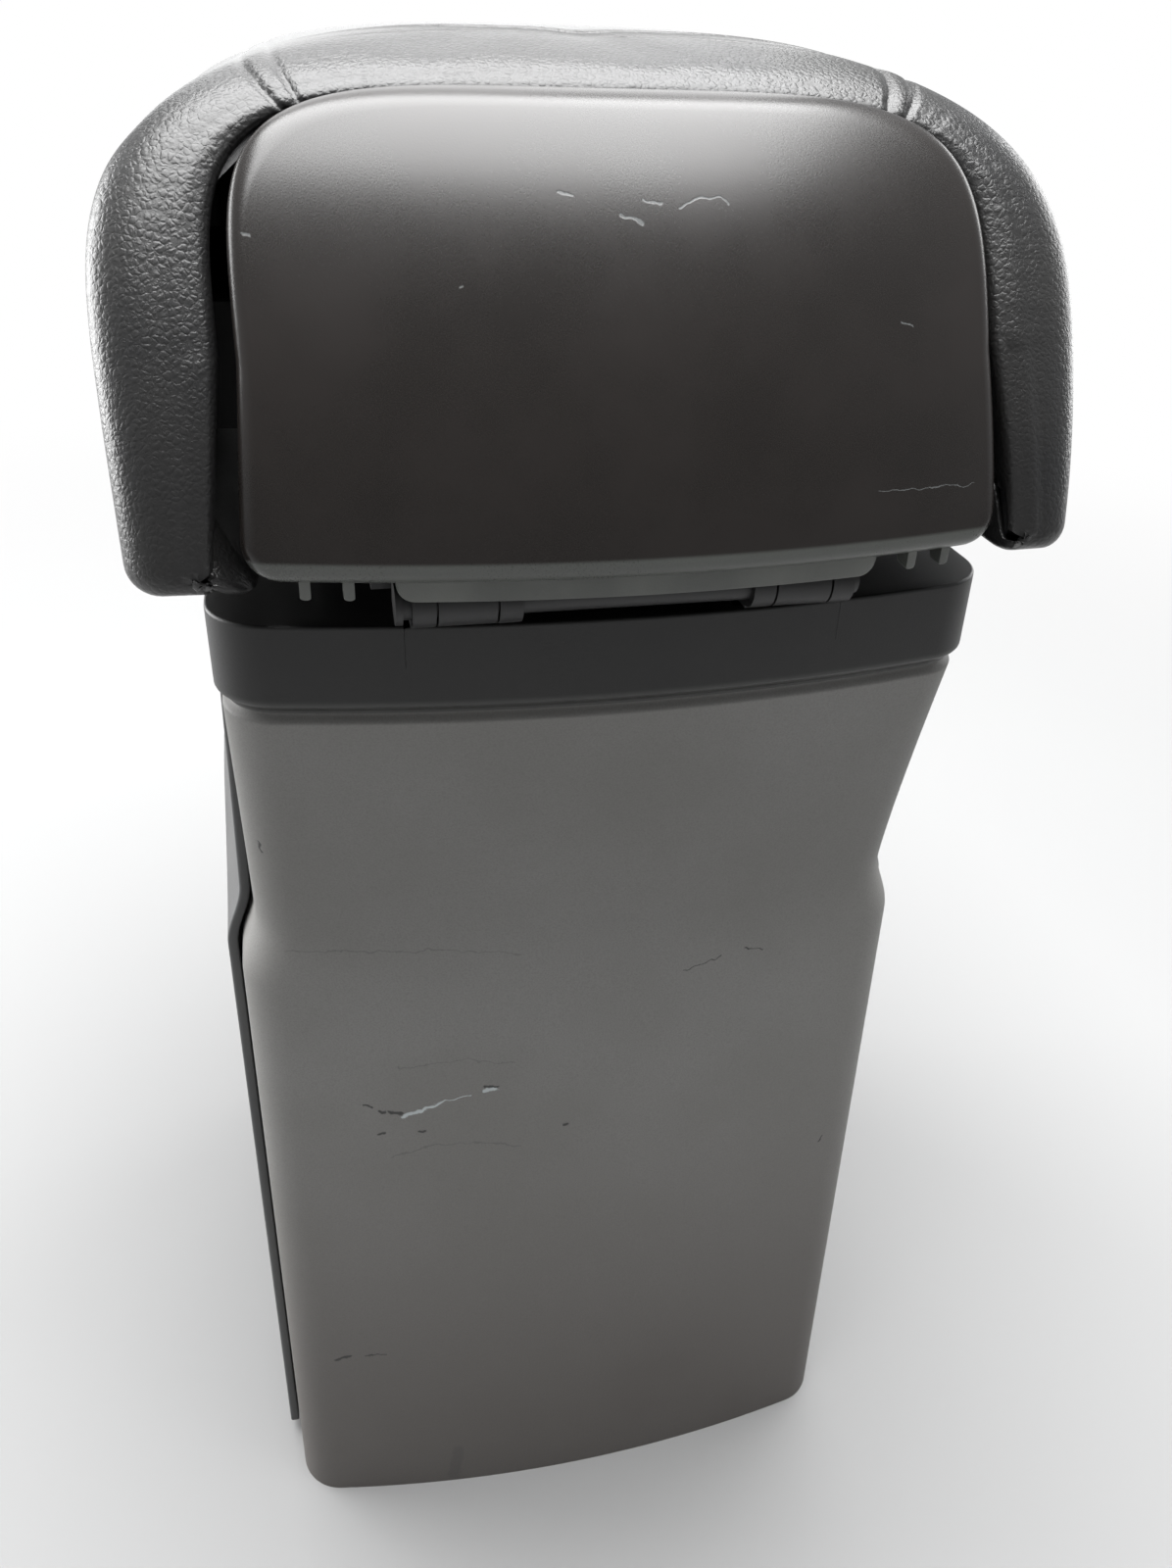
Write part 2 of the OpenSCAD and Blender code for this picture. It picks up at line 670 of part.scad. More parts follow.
// Closed outline of a lid section in the x-z plane: an arch on flanks with rounded lower corners.
// dw, dt and db pull in its sides, top and bottom; tuck narrows it at the bottom, and its
// lower edge has n steps.
function arch_section(half, top, bottom, power, tuck, r, dw, dt, db, n = 1) =
    let(spring = bottom + arch_spring * (top - bottom), rc = max(r - max(dw, db), 0.4),
        hw = half - dw, low = hw - tuck)
    concat(
        [for (i = [1:3]) let(t = lerp(-90, 0, i / 3))
            [low - rc + rc * cos(t), bottom + db + rc + rc * sin(t)]],
        [for (i = [0:arch_n]) let(t = 180 * i / arch_n, c = cos(t), s = sin(t))
            [hw * sign(c) * pow(abs(c), 2 / power), spring + (top - dt - spring) * pow(s, 2 / power)]],
        [for (i = [3:-1:1]) let(t = lerp(-90, 0, i / 3))
            [rc - low - rc * cos(t), bottom + db + rc + rc * sin(t)]],
        [for (i = [0:n]) [lerp(rc - low, low - rc, i / n), bottom + db]]);

// Lean of the lid's rear end: upright at the bottom (t = 0), level at the crown (t = 1)
rake_power = 1.4;
function rake(t) = 1 - pow(1 - pow(clamp01(t), rake_power), 1 / rake_power);

// Rear rim of the pad at a height
function rim_at(z) = rim_y + 1 + rim_rake * rake((z - flank_z) / pad_h);

function pad_section(d) =
    arch_section(pad_w / 2, pad_top, flank_z, pad_power, 1, 5, d, d, d);
// Seam grooves: the points of a section inset by d that lie near a seam sink into it
function seamed(pts, d) =
    let(place = seam_x * (1 - 2 * d / pad_w))
    [for (p = pts)
        let(depth = abs(abs(p.x) - place) < 3.2 && p.y > pad_top - 30 ? seam_d : 0)
        [p.x * (1 - depth / seam_x / 2), p.y - depth]];

// Solid envelope of the pad at an inset d: rolled rear rim, straight run and rounded nose
module pad_hull(d) {
    r = rim_r - d;
    roll = [for (i = [0:roll_n]) let(t = 90 * i / roll_n) [d + r * (1 - sin(t)), d + r * (1 - cos(t))]];
    rear_rings = [for (k = roll) [for (p = pad_section(k[0])) [p.x, rim_at(p.y) + k[1], p.y]]];
    nose_y = lid_front - nose_l;
    body = seamed(pad_section(d), d);
    fall = 1 - pad_fall / pad_h;
    straight = [for (y = [lid_back + rim_rake + 20, nose_y])
        [for (p = body) [p.x, y, y == nose_y ? flank_z + d + (p.y - flank_z - d) * fall : p.y]]];
    nose = [for (i = [1:nose_n])
        let(t = 78 * i / nose_n, s = sin(t) / sin(78), k = pow(1 - pow(0.985 * s, 2.6), 1 / 2.6))
        [for (p = body) [p.x * k, nose_y + (nose_l - d) * s, flank_z + d + (p.y - flank_z - d) * k * fall]]];
    rings = concat(rear_rings, straight, nose);
    tip_z = flank_z + 30;
    last = rings[len(rings) - 1];
    loft_fan([for (ring = rings) reversed(ring)], [0, rim_at(tip_z) + d, tip_z],
        [0, last[0].y, flank_z + d + 2]);
}

// Pocket between the flanks, widened by d, from behind the rim to the carrier's front wall
pocket_front = lid_front - nose_l + 8;
pocket_half = flank_gap / 2;
pocket_top = pad_top - crown_t;
module pocket(d) {
    section = arch_section(pocket_half + d, pocket_top + d, flank_z - 20, inner_power, 0, 3, 0, 0, 0);
    translate([0, pocket_front + d, 0]) rotate([90, 0, 0])
        linear_extrude(pocket_front + d - lid_back + 20) polygon(section);
}

module pad_cover() {
    color([0.08, 0.08, 0.08])
        difference() {
            pad_hull(0);
            pad_hull(cover_t);
            pocket(0);
        }
}

module pad_foam() {
    color([0.75, 0.7, 0.5])
        difference() {
            pad_hull(cover_t + fit);
            pocket(carrier_t + fit);
        }
}

module pad_carrier() {
    color([0.12, 0.12, 0.12])
        intersection() {
            pad_hull(cover_t + fit);
            difference() {
                pocket(carrier_t);
                pocket(0);
                for (m = [0, 1])
                    mirror([m, 0, 0]) runner_screw_places()
                        cylinder(r = screw_r + 0.1, h = runner_screw_l + 1, $fn = 32);
            }
        }
}

// Hard panel that closes the pad's underside in front of the core
module nose_panel() {
    color([0.12, 0.12, 0.12])
        block([fit - pocket_half, core_front + 1, flank_z + cover_t + fit],
            [pocket_half - fit, pocket_front - fit, flank_z + cover_t + fit + 2.5]);
}

// Outline of the end cap, pulled in at its sides and top by d and at its bottom by low
function cap_section(d, low) =
    arch_section(cap_w / 2, cap_top, cap_z, cap_power, -cap_flare, 6, d, d, low, 8);

// Depth of the end cap's face: bulged across and raked towards the crown
function cap_share(z) = clamp01((z - cap_z) / cap_h);
function cap_bulge(x, z) = cap_crown * pow(2 * x / cap_w, 2) * (1 - 0.3 * pow(cap_share(z), 2));
function cap_y(x, z) = lid_back + cap_bulge(x, z) + cap_rake * rake(cap_share(z));
// Depth of the end cap's edge behind its face: a deep lip at the bottom, thin at the crown
function cap_depth(z) = lerp(6, 0.5, smooth((cap_share(z) - 0.46) / 0.5));

// Solid envelope of the end cap at an inset d, with its sleeve; drop lowers its underside
sleeve_y = lid_back + cap_rake - 6;
module cap_hull(d, drop) {
    edge_r = cap_edge_r - d / 2;
    face = [for (t = [0:18:90])
        let(side = edge_r * (1 - sin(t)), low = lip_r * (1 - sin(t)))
        [for (p = cap_section(d + side, drop == 0 ? low : -drop))
            let(r = drop == 0 ? lerp(edge_r, lip_r, clamp01((cap_z + 2 * lip_r - p.y) / 2 / lip_r)) : edge_r)
            [p.x, cap_y(p.x, p.y) + d + r * (1 - cos(t)), p.y]]];
    inner = face[0];
    mid_z = cap_z + 0.45 * cap_h;
    centre = [for (k = [0.3, 0.55, 0.75, 0.9]) [for (p = inner)
        let(z = lerp(mid_z, p.z, k)) [p.x * k, cap_y(p.x * k, z) + d, z]]];
    crown_edge = [for (p = cap_section(d, -drop))
        [p.x, cap_y(p.x, p.y) + cap_edge_r + max(cap_depth(p.y) - d, d / 2 + 0.3), p.y]];
    sleeve = cap_section(d + sleeve_step, -drop);
    step = [for (i = [0:len(sleeve) - 1]) [sleeve[i].x, crown_edge[i].y + 1, sleeve[i].y]];
    sleeve_end = [for (p = sleeve) [p.x, sleeve_y + sleeve_l + d, p.y]];
    rings = concat(centre, face, [crown_edge, step, sleeve_end]);
    loft_fan([for (ring = rings) reversed(ring)], [0, cap_y(0, mid_z) + d, mid_z],
        [0, sleeve_y + sleeve_l + d, mid_z]);
}

module end_cap() {
    color([0.1, 0.1, 0.1])
        difference() {
            union() {
                difference() {
                    cap_hull(0, 0);
                    cap_hull(lid_wall, 12);
                }
                cap_tab();
                cap_ribs();
            }
            block([-cap_w, sleeve_y, cap_z - 20], [cap_w, lid_front, rail_z + rail_h / 2 + 3]);
            cap_screw_places() translate([0, 0, -eps])
                cylinder(r = screw_r + 0.1, h = 2 * lid_wall, $fn = 32);
        }
}

// Screws down through the sleeve into the core
cap_screw_x = 30;
module cap_screw_places() {
    for (x = [-1, 1])
        translate([x * cap_screw_x, sleeve_y + sleeve_l - 16, cap_top - sleeve_step - lid_wall]) children();
}

module cap_screws() {
    color([0.5, 0.5, 0.5])
        cap_screw_places() translate([0, 0, lid_wall]) rotate([180, 0, 0]) screw(2 * lid_wall + 2);
}

// Tab under the lip, which hides the hinge, and the ends of the cap's ribs, measured inwards
// from the lip's ends
lip_half = cap_w / 2 + cap_flare;
tab_inset = 24;
tab_back = 2.2;
tab_t = 2.4;
rib_insets = [9.5, 16.5];
module cap_tab() {
    n = 6;
    outer = [for (i = [-n:n]) let(x = (lip_half - tab_inset) * i / n) [x, cap_y(x, cap_z) + tab_back]];
    inner = [for (p = reversed(outer)) [p.x, p.y + tab_t]];
    translate([0, 0, cap_z - 3.2]) linear_extrude(9) polygon(concat(outer, inner));
}

module cap_ribs() {
    for (side = [-1, 1], inset = rib_insets) {
        x = side * (lip_half - inset);
        y = cap_y(x, cap_z) + tab_back;
        block([x - 0.9, y, cap_z - 3], [x + 0.9, y + 4, cap_z + 8]);
    }
}

// Moulded core of the lid: an inverted box that carries the cap, the hinge and the rails
core_half = cap_w / 2 - sleeve_step - lid_wall - fit;
core_top = cap_top - sleeve_step - lid_wall - fit;
core_back = sleeve_y;
core_gap = 18;
core_front = pocket_front - core_gap;
module core_section(d) {
    polygon(arch_section(core_half - d, core_top - d, leaf_z, cap_power, 0, 1, 0, 0, 0));
}

module core_bar(d, y0, y1) {
    translate([0, y1, 0]) rotate([90, 0, 0]) linear_extrude(y1 - y0) core_section(d);
}

liner_boss_x = core_half - 5.5;
liner_boss_y = 12;
module liner_screw_places() {
    for (x = [-1, 1])
        translate([x * liner_boss_x, core_front - liner_boss_y, 0]) children();
}

module lid_core() {
    floor_z = leaf_z + leaf_t;
    color([0.14, 0.14, 0.14])
        difference() {
            union() {
                difference() {
                    core_bar(0, core_back, core_front);
                    translate([0, 0, -lid_wall]) core_bar(lid_wall, core_back - eps, core_front - lid_wall);
                }
                block([-core_half + 1, core_back, floor_z],
                    [core_half - 1, leaf_y + leaf_l + 6, floor_z + lid_wall]);
                leaf_screw_places() translate([0, 0, floor_z])
                    cylinder(r = 2.2 * screw_r, h = 9, $fn = 32);
                liner_screw_places() translate([0, 0, leaf_z])
                    cylinder(r = 2.2 * screw_r, h = 14, $fn = 32);
            }
            liner_screw_places() translate([0, 0, leaf_z - eps])
                cylinder(r = screw_r + 0.1, h = 10, $fn = 32);
            cap_screw_places() translate([0, 0, -2 * lid_wall])
                cylinder(r = screw_r + 0.1, h = 3 * lid_wall, $fn = 32);
            for (m = [0, 1])
                mirror([m, 0, 0]) rail_screw_places() translate([0, 0, -eps])
                    cylinder(r = screw_r + 0.1, h = 3 * lid_wall, $fn = 32);
            leaf_screw_places() translate([0, 0, floor_z - eps])
                cylinder(r = screw_r + 0.1, h = 8, $fn = 32);
        }
}

module lid_liner() {
    y0 = plate_y + 1;
    color([0.12, 0.12, 0.12])
        difference() {
            union() {
                translate([0, (y0 + core_front) / 2, liner_z]) linear_extrude(liner_t)
                    round_rect(2 * core_half, core_front - y0, 6);
                for (x = [-1, 1])
                    block([x * (paddle_w / 2 + 6.5) - 1.5, latch_y - 5, latch_z - 4.5],
                        [x * (paddle_w / 2 + 6.5) + 1.5, latch_y + 5, liner_z + eps]);
            }
            translate([0, latch_y, latch_z]) rotate([0, 90, 0])
                cylinder(r = latch_pin_r + pin_gap, h = 2 * paddle_w, center = true, $fn = 48);
            liner_screw_places() translate([0, 0, liner_z - eps]) {
                cylinder(r = screw_r + 0.1, h = liner_t + 2 * eps, $fn = 32);
                cylinder(r = 2 * screw_r + 0.2, h = 2 + eps, $fn = 32);
            }
            leaf_screw_places() translate([0, 0, liner_z - eps])
                cylinder(r = 2 * screw_r + 0.3, h = liner_t + 2 * eps, $fn = 32);
        }
}

module liner_screws() {
    color([0.5, 0.5, 0.5])
        liner_screw_places() translate([0, 0, liner_z + 2]) screw(liner_t + 6);
}

module lid_bumpers() {
    color([0.05, 0.05, 0.05])
        for (x = [-1, 1], y = [0, 1])
            translate([x * (core_half - 8), y == 0 ? plate_y + 4 : bin_front + 4, collar_top + 0.1])
                cylinder(r = 2.5, h = lid_gap - 0.1, $fn = 32);
}

// A rail is a steel channel on the core's side; the runner's tongue slides in it
rail_rise = 30;
rail_z = leaf_z + rail_rise;
rail_end = 10;
rail_y = core_back + rail_end;
rail_l = core_front - core_back - 2 * rail_end;
rail_screw_end = 14;
rail_t = 1.5;
rail_d = 6;
module rail() {
    difference() {
        block([core_half, rail_y, rail_z - rail_h / 2],
            [core_half + rail_d, rail_y + rail_l, rail_z + rail_h / 2]);
        block([core_half + rail_t, rail_y - eps, rail_z - rail_h / 2 + rail_t],
            [core_half + rail_d + eps, rail_y + rail_l + eps, rail_z + rail_h / 2 - rail_t]);
        rail_screw_places() translate([0, 0, -eps])
            cylinder(r = screw_r + 0.1, h = 3 * rail_t, $fn = 32);
    }
}

// Screws that hold the right rail on the core, from the rail's floor inwards
module rail_screw_places() {
    for (y = [rail_screw_end, rail_l / 2, rail_l - rail_screw_end])
        translate([core_half + rail_t, rail_y + y, rail_z]) rotate([0, -90, 0]) children();
}

module rail_right() {
    color([0.55, 0.55, 0.55])
        rail();
}

module rail_left() {
    color([0.55, 0.55, 0.55])
        mirror([1, 0, 0]) rail();
}

module rail_screws() {
    color([0.5, 0.5, 0.5])
        for (m = [0, 1])
            mirror([m, 0, 0]) rail_screw_places() screw(lid_wall + 3);
}

runner_y = rail_y + 8;
runner_h = 22;
runner_screw_end = 12;
runner_screw_l = pocket_half + carrier_t - core_half - rail_d;
module runner() {
    half_h = rail_h / 2 - rail_t - runner_gap;
    tongue_x = core_half + rail_t + 2.2;
    difference() {
        union() {
            block([tongue_x, runner_y, rail_z - half_h],
                [core_half + rail_d + 0.4, runner_y + runner_l, rail_z + half_h]);
            block([core_half + rail_d + 0.4, runner_y, rail_z - runner_h / 2],
                [pocket_half - 0.6, runner_y + runner_l, rail_z + runner_h / 2]);
        }
        runner_screw_places() {
            translate([0, 0, -6]) cylinder(r = 2 * screw_r + 0.2, h = 6, $fn = 32);
            translate([0, 0, -eps]) cylinder(r = screw_r + 0.1, h = runner_screw_l, $fn = 32);
        }
    }
}

// Screws that hold the right runner in the carrier, from the bottom of their recesses outwards
module runner_screw_places() {
    for (y = [runner_screw_end, runner_l - runner_screw_end])
        translate([core_half + rail_d - 0.5, runner_y + y, rail_z]) rotate([0, 90, 0]) children();
}

module runner_right() {
    color([0.85, 0.85, 0.8])
        runner();
}

module runner_left() {
    color([0.85, 0.85, 0.8])
        mirror([1, 0, 0]) runner();
}

module runner_screws() {
    color([0.5, 0.5, 0.5])
        for (m = [0, 1])
            mirror([m, 0, 0]) runner_screw_places() screw(runner_screw_l);
}

// Latch: a lever on a pin under the front of the lid, whose hook catches the striker
latch_reach = 11;
latch_y = collar_front + latch_reach;
latch_drop = 7;
latch_z = liner_z - latch_drop;
hook_gap = 0.3;
striker_l = 4;
module latch_lever() {
    hook_y = collar_front + striker_l + hook_gap;
    color([0.1, 0.1, 0.1])
        difference() {
            union() {
                translate([-paddle_w / 2, latch_y, latch_z]) rotate([0, 90, 0])
                    cylinder(r = latch_pin_r + 1.8, h = paddle_w, $fn = 48);
                block([-paddle_w / 2, latch_y, latch_z - 2.4], [paddle_w / 2, latch_y + 20, latch_z]);
                block([-9, hook_y, latch_z - 3], [9, latch_y, latch_z]);
                block([-9, hook_y, latch_z - 11], [9, hook_y + 2.5, latch_z]);
            }
            translate([0, latch_y, latch_z]) rotate([0, 90, 0])
                cylinder(r = latch_pin_r + pin_gap, h = 2 * paddle_w, center = true, $fn = 48);
        }
}

module latch_pin() {
    color([0.6, 0.6, 0.6])
        translate([-paddle_w / 2 - 9, latch_y, latch_z]) rotate([0, 90, 0])
            cylinder(r = latch_pin_r, h = paddle_w + 18, $fn = 48);
}

module latch_spring() {
    color([0.6, 0.6, 0.6])
        translate([paddle_w / 2 + 1, latch_y, latch_z]) rotate([0, 90, 0])
            difference() {
                cylinder(r = latch_pin_r + 1.3, h = 3, $fn = 48);
                translate([0, 0, -eps]) cylinder(r = latch_pin_r + 0.3, h = 4, $fn = 48);
            }
}

module latch_striker() {
    color([0.4, 0.4, 0.4])
        difference() {
            union() {
                block([-12, collar_front, latch_z - 12], [12, collar_front + 1.5, collar_top - 2]);
                block([-12, collar_front, latch_z - 9], [12, collar_front + striker_l, latch_z - 7.5]);
            }
            block([-9.5, collar_front - eps, latch_z - 6], [9.5, collar_front + striker_l, collar_top]);
        }
}

rear_shell();
front_shell();
side_panel_left();
side_panel_right();
collar();
storage_bin();
bin_mat();
mounting_bracket();
bracket_screws();
hinge_bracket();
shell_screws();
hinge_screws();
hinge_pin();
latch_striker();
lid_core();
lid_liner();
liner_screws();
lid_bumpers();
end_cap();
cap_screws();
hinge_leaf();
leaf_screws();
rail_left();
rail_right();
rail_screws();
latch_pin();
latch_spring();
latch_lever();
pad_carrier();
runner_left();
runner_right();
runner_screws();
nose_panel();
pad_foam();
pad_cover();
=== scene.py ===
import bmesh
import bpy
import numpy as np
from mathutils import Matrix, Vector


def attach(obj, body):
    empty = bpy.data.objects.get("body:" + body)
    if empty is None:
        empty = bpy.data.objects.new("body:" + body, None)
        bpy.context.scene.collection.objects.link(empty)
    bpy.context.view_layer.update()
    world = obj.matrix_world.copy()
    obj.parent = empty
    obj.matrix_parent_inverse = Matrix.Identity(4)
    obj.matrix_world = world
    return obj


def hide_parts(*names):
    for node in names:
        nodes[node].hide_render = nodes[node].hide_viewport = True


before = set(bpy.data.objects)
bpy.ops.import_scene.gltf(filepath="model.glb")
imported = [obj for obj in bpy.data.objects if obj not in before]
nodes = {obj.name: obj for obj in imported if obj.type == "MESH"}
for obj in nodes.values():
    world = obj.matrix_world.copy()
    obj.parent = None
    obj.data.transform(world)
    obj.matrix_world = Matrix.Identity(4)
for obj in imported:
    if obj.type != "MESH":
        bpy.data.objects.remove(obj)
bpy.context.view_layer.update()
collection = bpy.context.scene.collection

# ---- Photographer's place -------------------------------------------------------------------
# The photo was taken by hand, close behind the armrest, a little to its left and just under the
# height of the pad's crown, with the camera tipped down towards the foot.
camera_at = Vector((-0.0567, -0.3388, 0.3709))
yaw, pitch, roll = np.radians((13.8, 31.2, 2.1))
ahead = Vector((np.sin(yaw) * np.cos(pitch), np.cos(yaw) * np.cos(pitch), -np.sin(pitch)))
level = Vector((np.cos(yaw), -np.sin(yaw), 0))
upright = level.cross(ahead)
right = level * np.cos(roll) + upright * np.sin(roll)
up = upright * np.cos(roll) - level * np.sin(roll)
camera = bpy.data.objects.new("camera", bpy.data.cameras.new("camera"))
camera.data.lens = 36 * 1292 / 1600
camera.data.clip_start = 0.01
camera.matrix_world = Matrix((
    (right.x, up.x, -ahead.x, camera_at.x),
    (right.y, up.y, -ahead.y, camera_at.y),
    (right.z, up.z, -ahead.z, camera_at.z),
    (0, 0, 0, 1),
))
collection.objects.link(camera)
bpy.context.scene.camera = camera


# ---- Studio ---------------------------------------------------------------------------------
# A pale table under a plain grey sky, with one broad lamp overhead, which the tops of the pad and
# of the cap mirror, and three weaker ones ahead and at both sides.
class Value:
    """A shader socket whose arithmetic adds Math nodes."""

    def __init__(self, tree, socket):
        self.tree, self.socket = tree, socket

    def math(self, operation, *others):
        return self.tree.add("ShaderNodeMath", {"operation": operation}, self, *others)

    def __add__(self, other):
        return self.math("ADD", other)

    def __sub__(self, other):
        return self.math("SUBTRACT", other)

    def __rsub__(self, other):
        return self.tree.add("ShaderNodeMath", {"operation": "SUBTRACT"}, other, self)

    def __mul__(self, other):
        return self.math("MULTIPLY", other)

    def __truediv__(self, other):
        return self.math("DIVIDE", other)

    __radd__ = __add__
    __rmul__ = __mul__

    def least(self, other):
        return self.math("MINIMUM", other)

    def most(self, other):
        return self.math("MAXIMUM", other)

    def ramp(self, low, high, to_low=0.0, to_high=1.0):
        """Smooth step from to_low at low to to_high at high."""
        return self.tree.add("ShaderNodeMapRange", {"interpolation_type": "SMOOTHSTEP"},
                             self, low, high, to_low, to_high)


class Tree:
    """The nodes of one material or of the world."""

    def __init__(self, owner):
        owner.use_nodes = True
        self.nodes, self.links = owner.node_tree.nodes, owner.node_tree.links
        self.nodes.clear()

    def join(self, value, socket):
        """Links a value to a socket, or sets the socket where the value is a plain one."""
        if isinstance(value, Value):
            self.links.new(value.socket, socket)
        elif value is not None:
            socket.default_value = value

    def add(self, kind, settings, *values, out=0, **named):
        """Adds a node: its settings first, then its sockets in order, then sockets by name."""
        node = self.nodes.new(kind)
        for key, setting in settings.items():
            setattr(node, key, setting)
        for socket, value in zip(node.inputs, values):
            self.join(value, socket)
        for name, value in named.items():
            self.join(value, node.inputs[name.replace("_", " ")])
        return Value(self, node.outputs[out]) if node.outputs else None

    def vector(self, operation, *values, out=0, **named):
        return self.add("ShaderNodeVectorMath", {"operation": operation}, *values, out=out, **named)

    def place(self):
        """Object coordinates, which are metres in the armrest's own frame."""
        return self.add("ShaderNodeTexCoord", {}, out="Object")

    def stretched(self, place, *by):
        return self.vector("MULTIPLY", place, by)

    def noise(self, place, scale, detail=2.0, rough=0.5):
        return self.add("ShaderNodeTexNoise", {}, place,
                        Scale=scale, Detail=detail, Roughness=rough)

    def shaken(self, place, scale, by):
        """The place pushed about by noise, by up to half of by along each axis."""
        push = self.add("ShaderNodeTexNoise", {}, place, Scale=scale, Detail=2.0, out=1)
        push = self.vector("SUBTRACT", push, (0.5, 0.5, 0.5))
        return self.vector("ADD", place, self.vector("SCALE", push, Scale=by))

    def part(self, vector, axis):
        """One coordinate of a vector: 0 is x, 1 is y and 2 is z."""
        return self.add("ShaderNodeSeparateXYZ", {}, vector, out=axis)

    def mix(self, factor, a, b):
        """Colour mix from a to b."""
        node = self.nodes.new("ShaderNodeMix")
        node.data_type = "RGBA"
        self.join(factor, node.inputs[0])
        self.join(a, node.inputs[6])
        self.join(b, node.inputs[7])
        return Value(self, node.outputs[2])


def lit_world():
    """White to the camera; on everything else a plain grey light, weaker from behind the camera."""
    world = bpy.data.worlds.new("sky")
    bpy.context.scene.world = world
    tree = Tree(world)
    path = tree.nodes.new("ShaderNodeLightPath").outputs
    forward = tree.part(tree.add("ShaderNodeTexCoord", {}, out="Generated"), 1)
    soft = tree.mix(forward.ramp(-0.9, -0.2), (0.26, 0.26, 0.26, 1), (0.50, 0.51, 0.52, 1))
    tree.add("ShaderNodeOutputWorld", {}, tree.add("ShaderNodeBackground", {}, tree.mix(
        Value(tree, path["Is Camera Ray"]), soft, (1, 1, 1, 1)), 1.0))


def lamp(name, at, towards, size, watts):
    """A square soft lamp that faces a point."""
    data = bpy.data.lights.new(name, "AREA")
    data.size, data.energy = size, watts
    lit = bpy.data.objects.new(name, data)
    aim = (Vector(towards) - Vector(at)).to_track_quat("-Z", "Y").to_matrix().to_4x4()
    lit.matrix_world = Matrix.Translation(at) @ aim
    collection.objects.link(lit)


lit_world()
bpy.context.scene.view_settings.view_transform = "Standard"
lamp("overhead", (0.0, 0.05, 1.6), (0, -0.1, 0.25), 1.4, 74)
lamp("ahead", (0.1, 1.5, 1.0), (0, -0.05, 0.35), 1.3, 12)
lamp("left", (-1.5, 0.9, 0.55), (0, 0, 0.33), 1.2, 42)
lamp("right", (1.6, 0.9, 0.55), (0, 0, 0.33), 1.0, 14)

table = bpy.data.objects.new("table", bpy.data.meshes.new("table"))
table.data.from_pydata([(-6, -6, 0), (6, -6, 0), (6, 6, 0), (-6, 6, 0)], [], [(0, 1, 2, 3)])
collection.objects.link(table)
paper = bpy.data.materials.new("pale_table")
paper_tree = Tree(paper)
paper_seen = Value(paper_tree, paper_tree.nodes.new("ShaderNodeLightPath").outputs["Is Camera Ray"])
far = paper_tree.vector("LENGTH", paper_tree.place(), out="Value").ramp(0.35, 1.1)
paper_tree.add("ShaderNodeOutputMaterial", {}, paper_tree.add(
    "ShaderNodeMixShader", {}, far * paper_seen,
    paper_tree.add("ShaderNodeBsdfDiffuse", {}, paper_tree.mix(
        paper_tree.noise(paper_tree.place(), 3.0), (0.29, 0.29, 0.29, 1), (0.30, 0.30, 0.30, 1))),
    paper_tree.add("ShaderNodeEmission", {}, (1, 1, 1, 1), 1.0)))
table.data.materials.append(paper)


# ---- Rear shell -----------------------------------------------------------------------------
# The grey back of the pedestal: one moulding of stiff plastic with a fine matt grain. Its sides
# pull in above a shoulder at a third of the height; its wings step in under the side panels.
def ease(t):
    """3c^2 - 2c^3 of c, which is t kept within 0 and 1."""
    c = np.clip(t, 0, 1)
    return c * c * (3 - 2 * c)


def between(a, b, t):
    """a + (b - a) t."""
    return a + (b - a) * t


def spaced(start, *runs):
    """Rising row of numbers: each run (end, n) adds n even steps up to its end."""
    row = [np.array([float(start)])]
    for end, n in runs:
        row.append(np.linspace(row[-1][-1], end, n + 1)[1:])
    return np.concatenate(row)


def join_grid(rings, around=False, keep=None):
    """Quads between neighbours of an (m, n) grid of points; around also joins each ring's last
    point to its first, and keep is a mask of the quads that stay."""
    m, n = rings.shape[:2]
    number = np.arange(m * n).reshape(m, n)
    if around:
        number = np.concatenate([number, number[:, :1]], axis=1)
    quads = np.stack([number[:-1, :-1], number[:-1, 1:], number[1:, 1:], number[1:, :-1]], axis=-1)
    return quads.reshape(-1, 4) if keep is None else quads[keep]


def walled(rings):
    """A wall's (points, quads): each ring runs along its outer face and back along its inner one,
    and the first and last ring are closed between the two."""
    m, n = rings.shape[:2]
    j = np.arange(n // 2 - 1)
    first = np.stack([j + 1, j, n - 1 - j, n - 2 - j], axis=-1)
    last = (m - 1) * n + first[:, ::-1]
    return rings, np.concatenate([join_grid(rings, around=True), first, last])


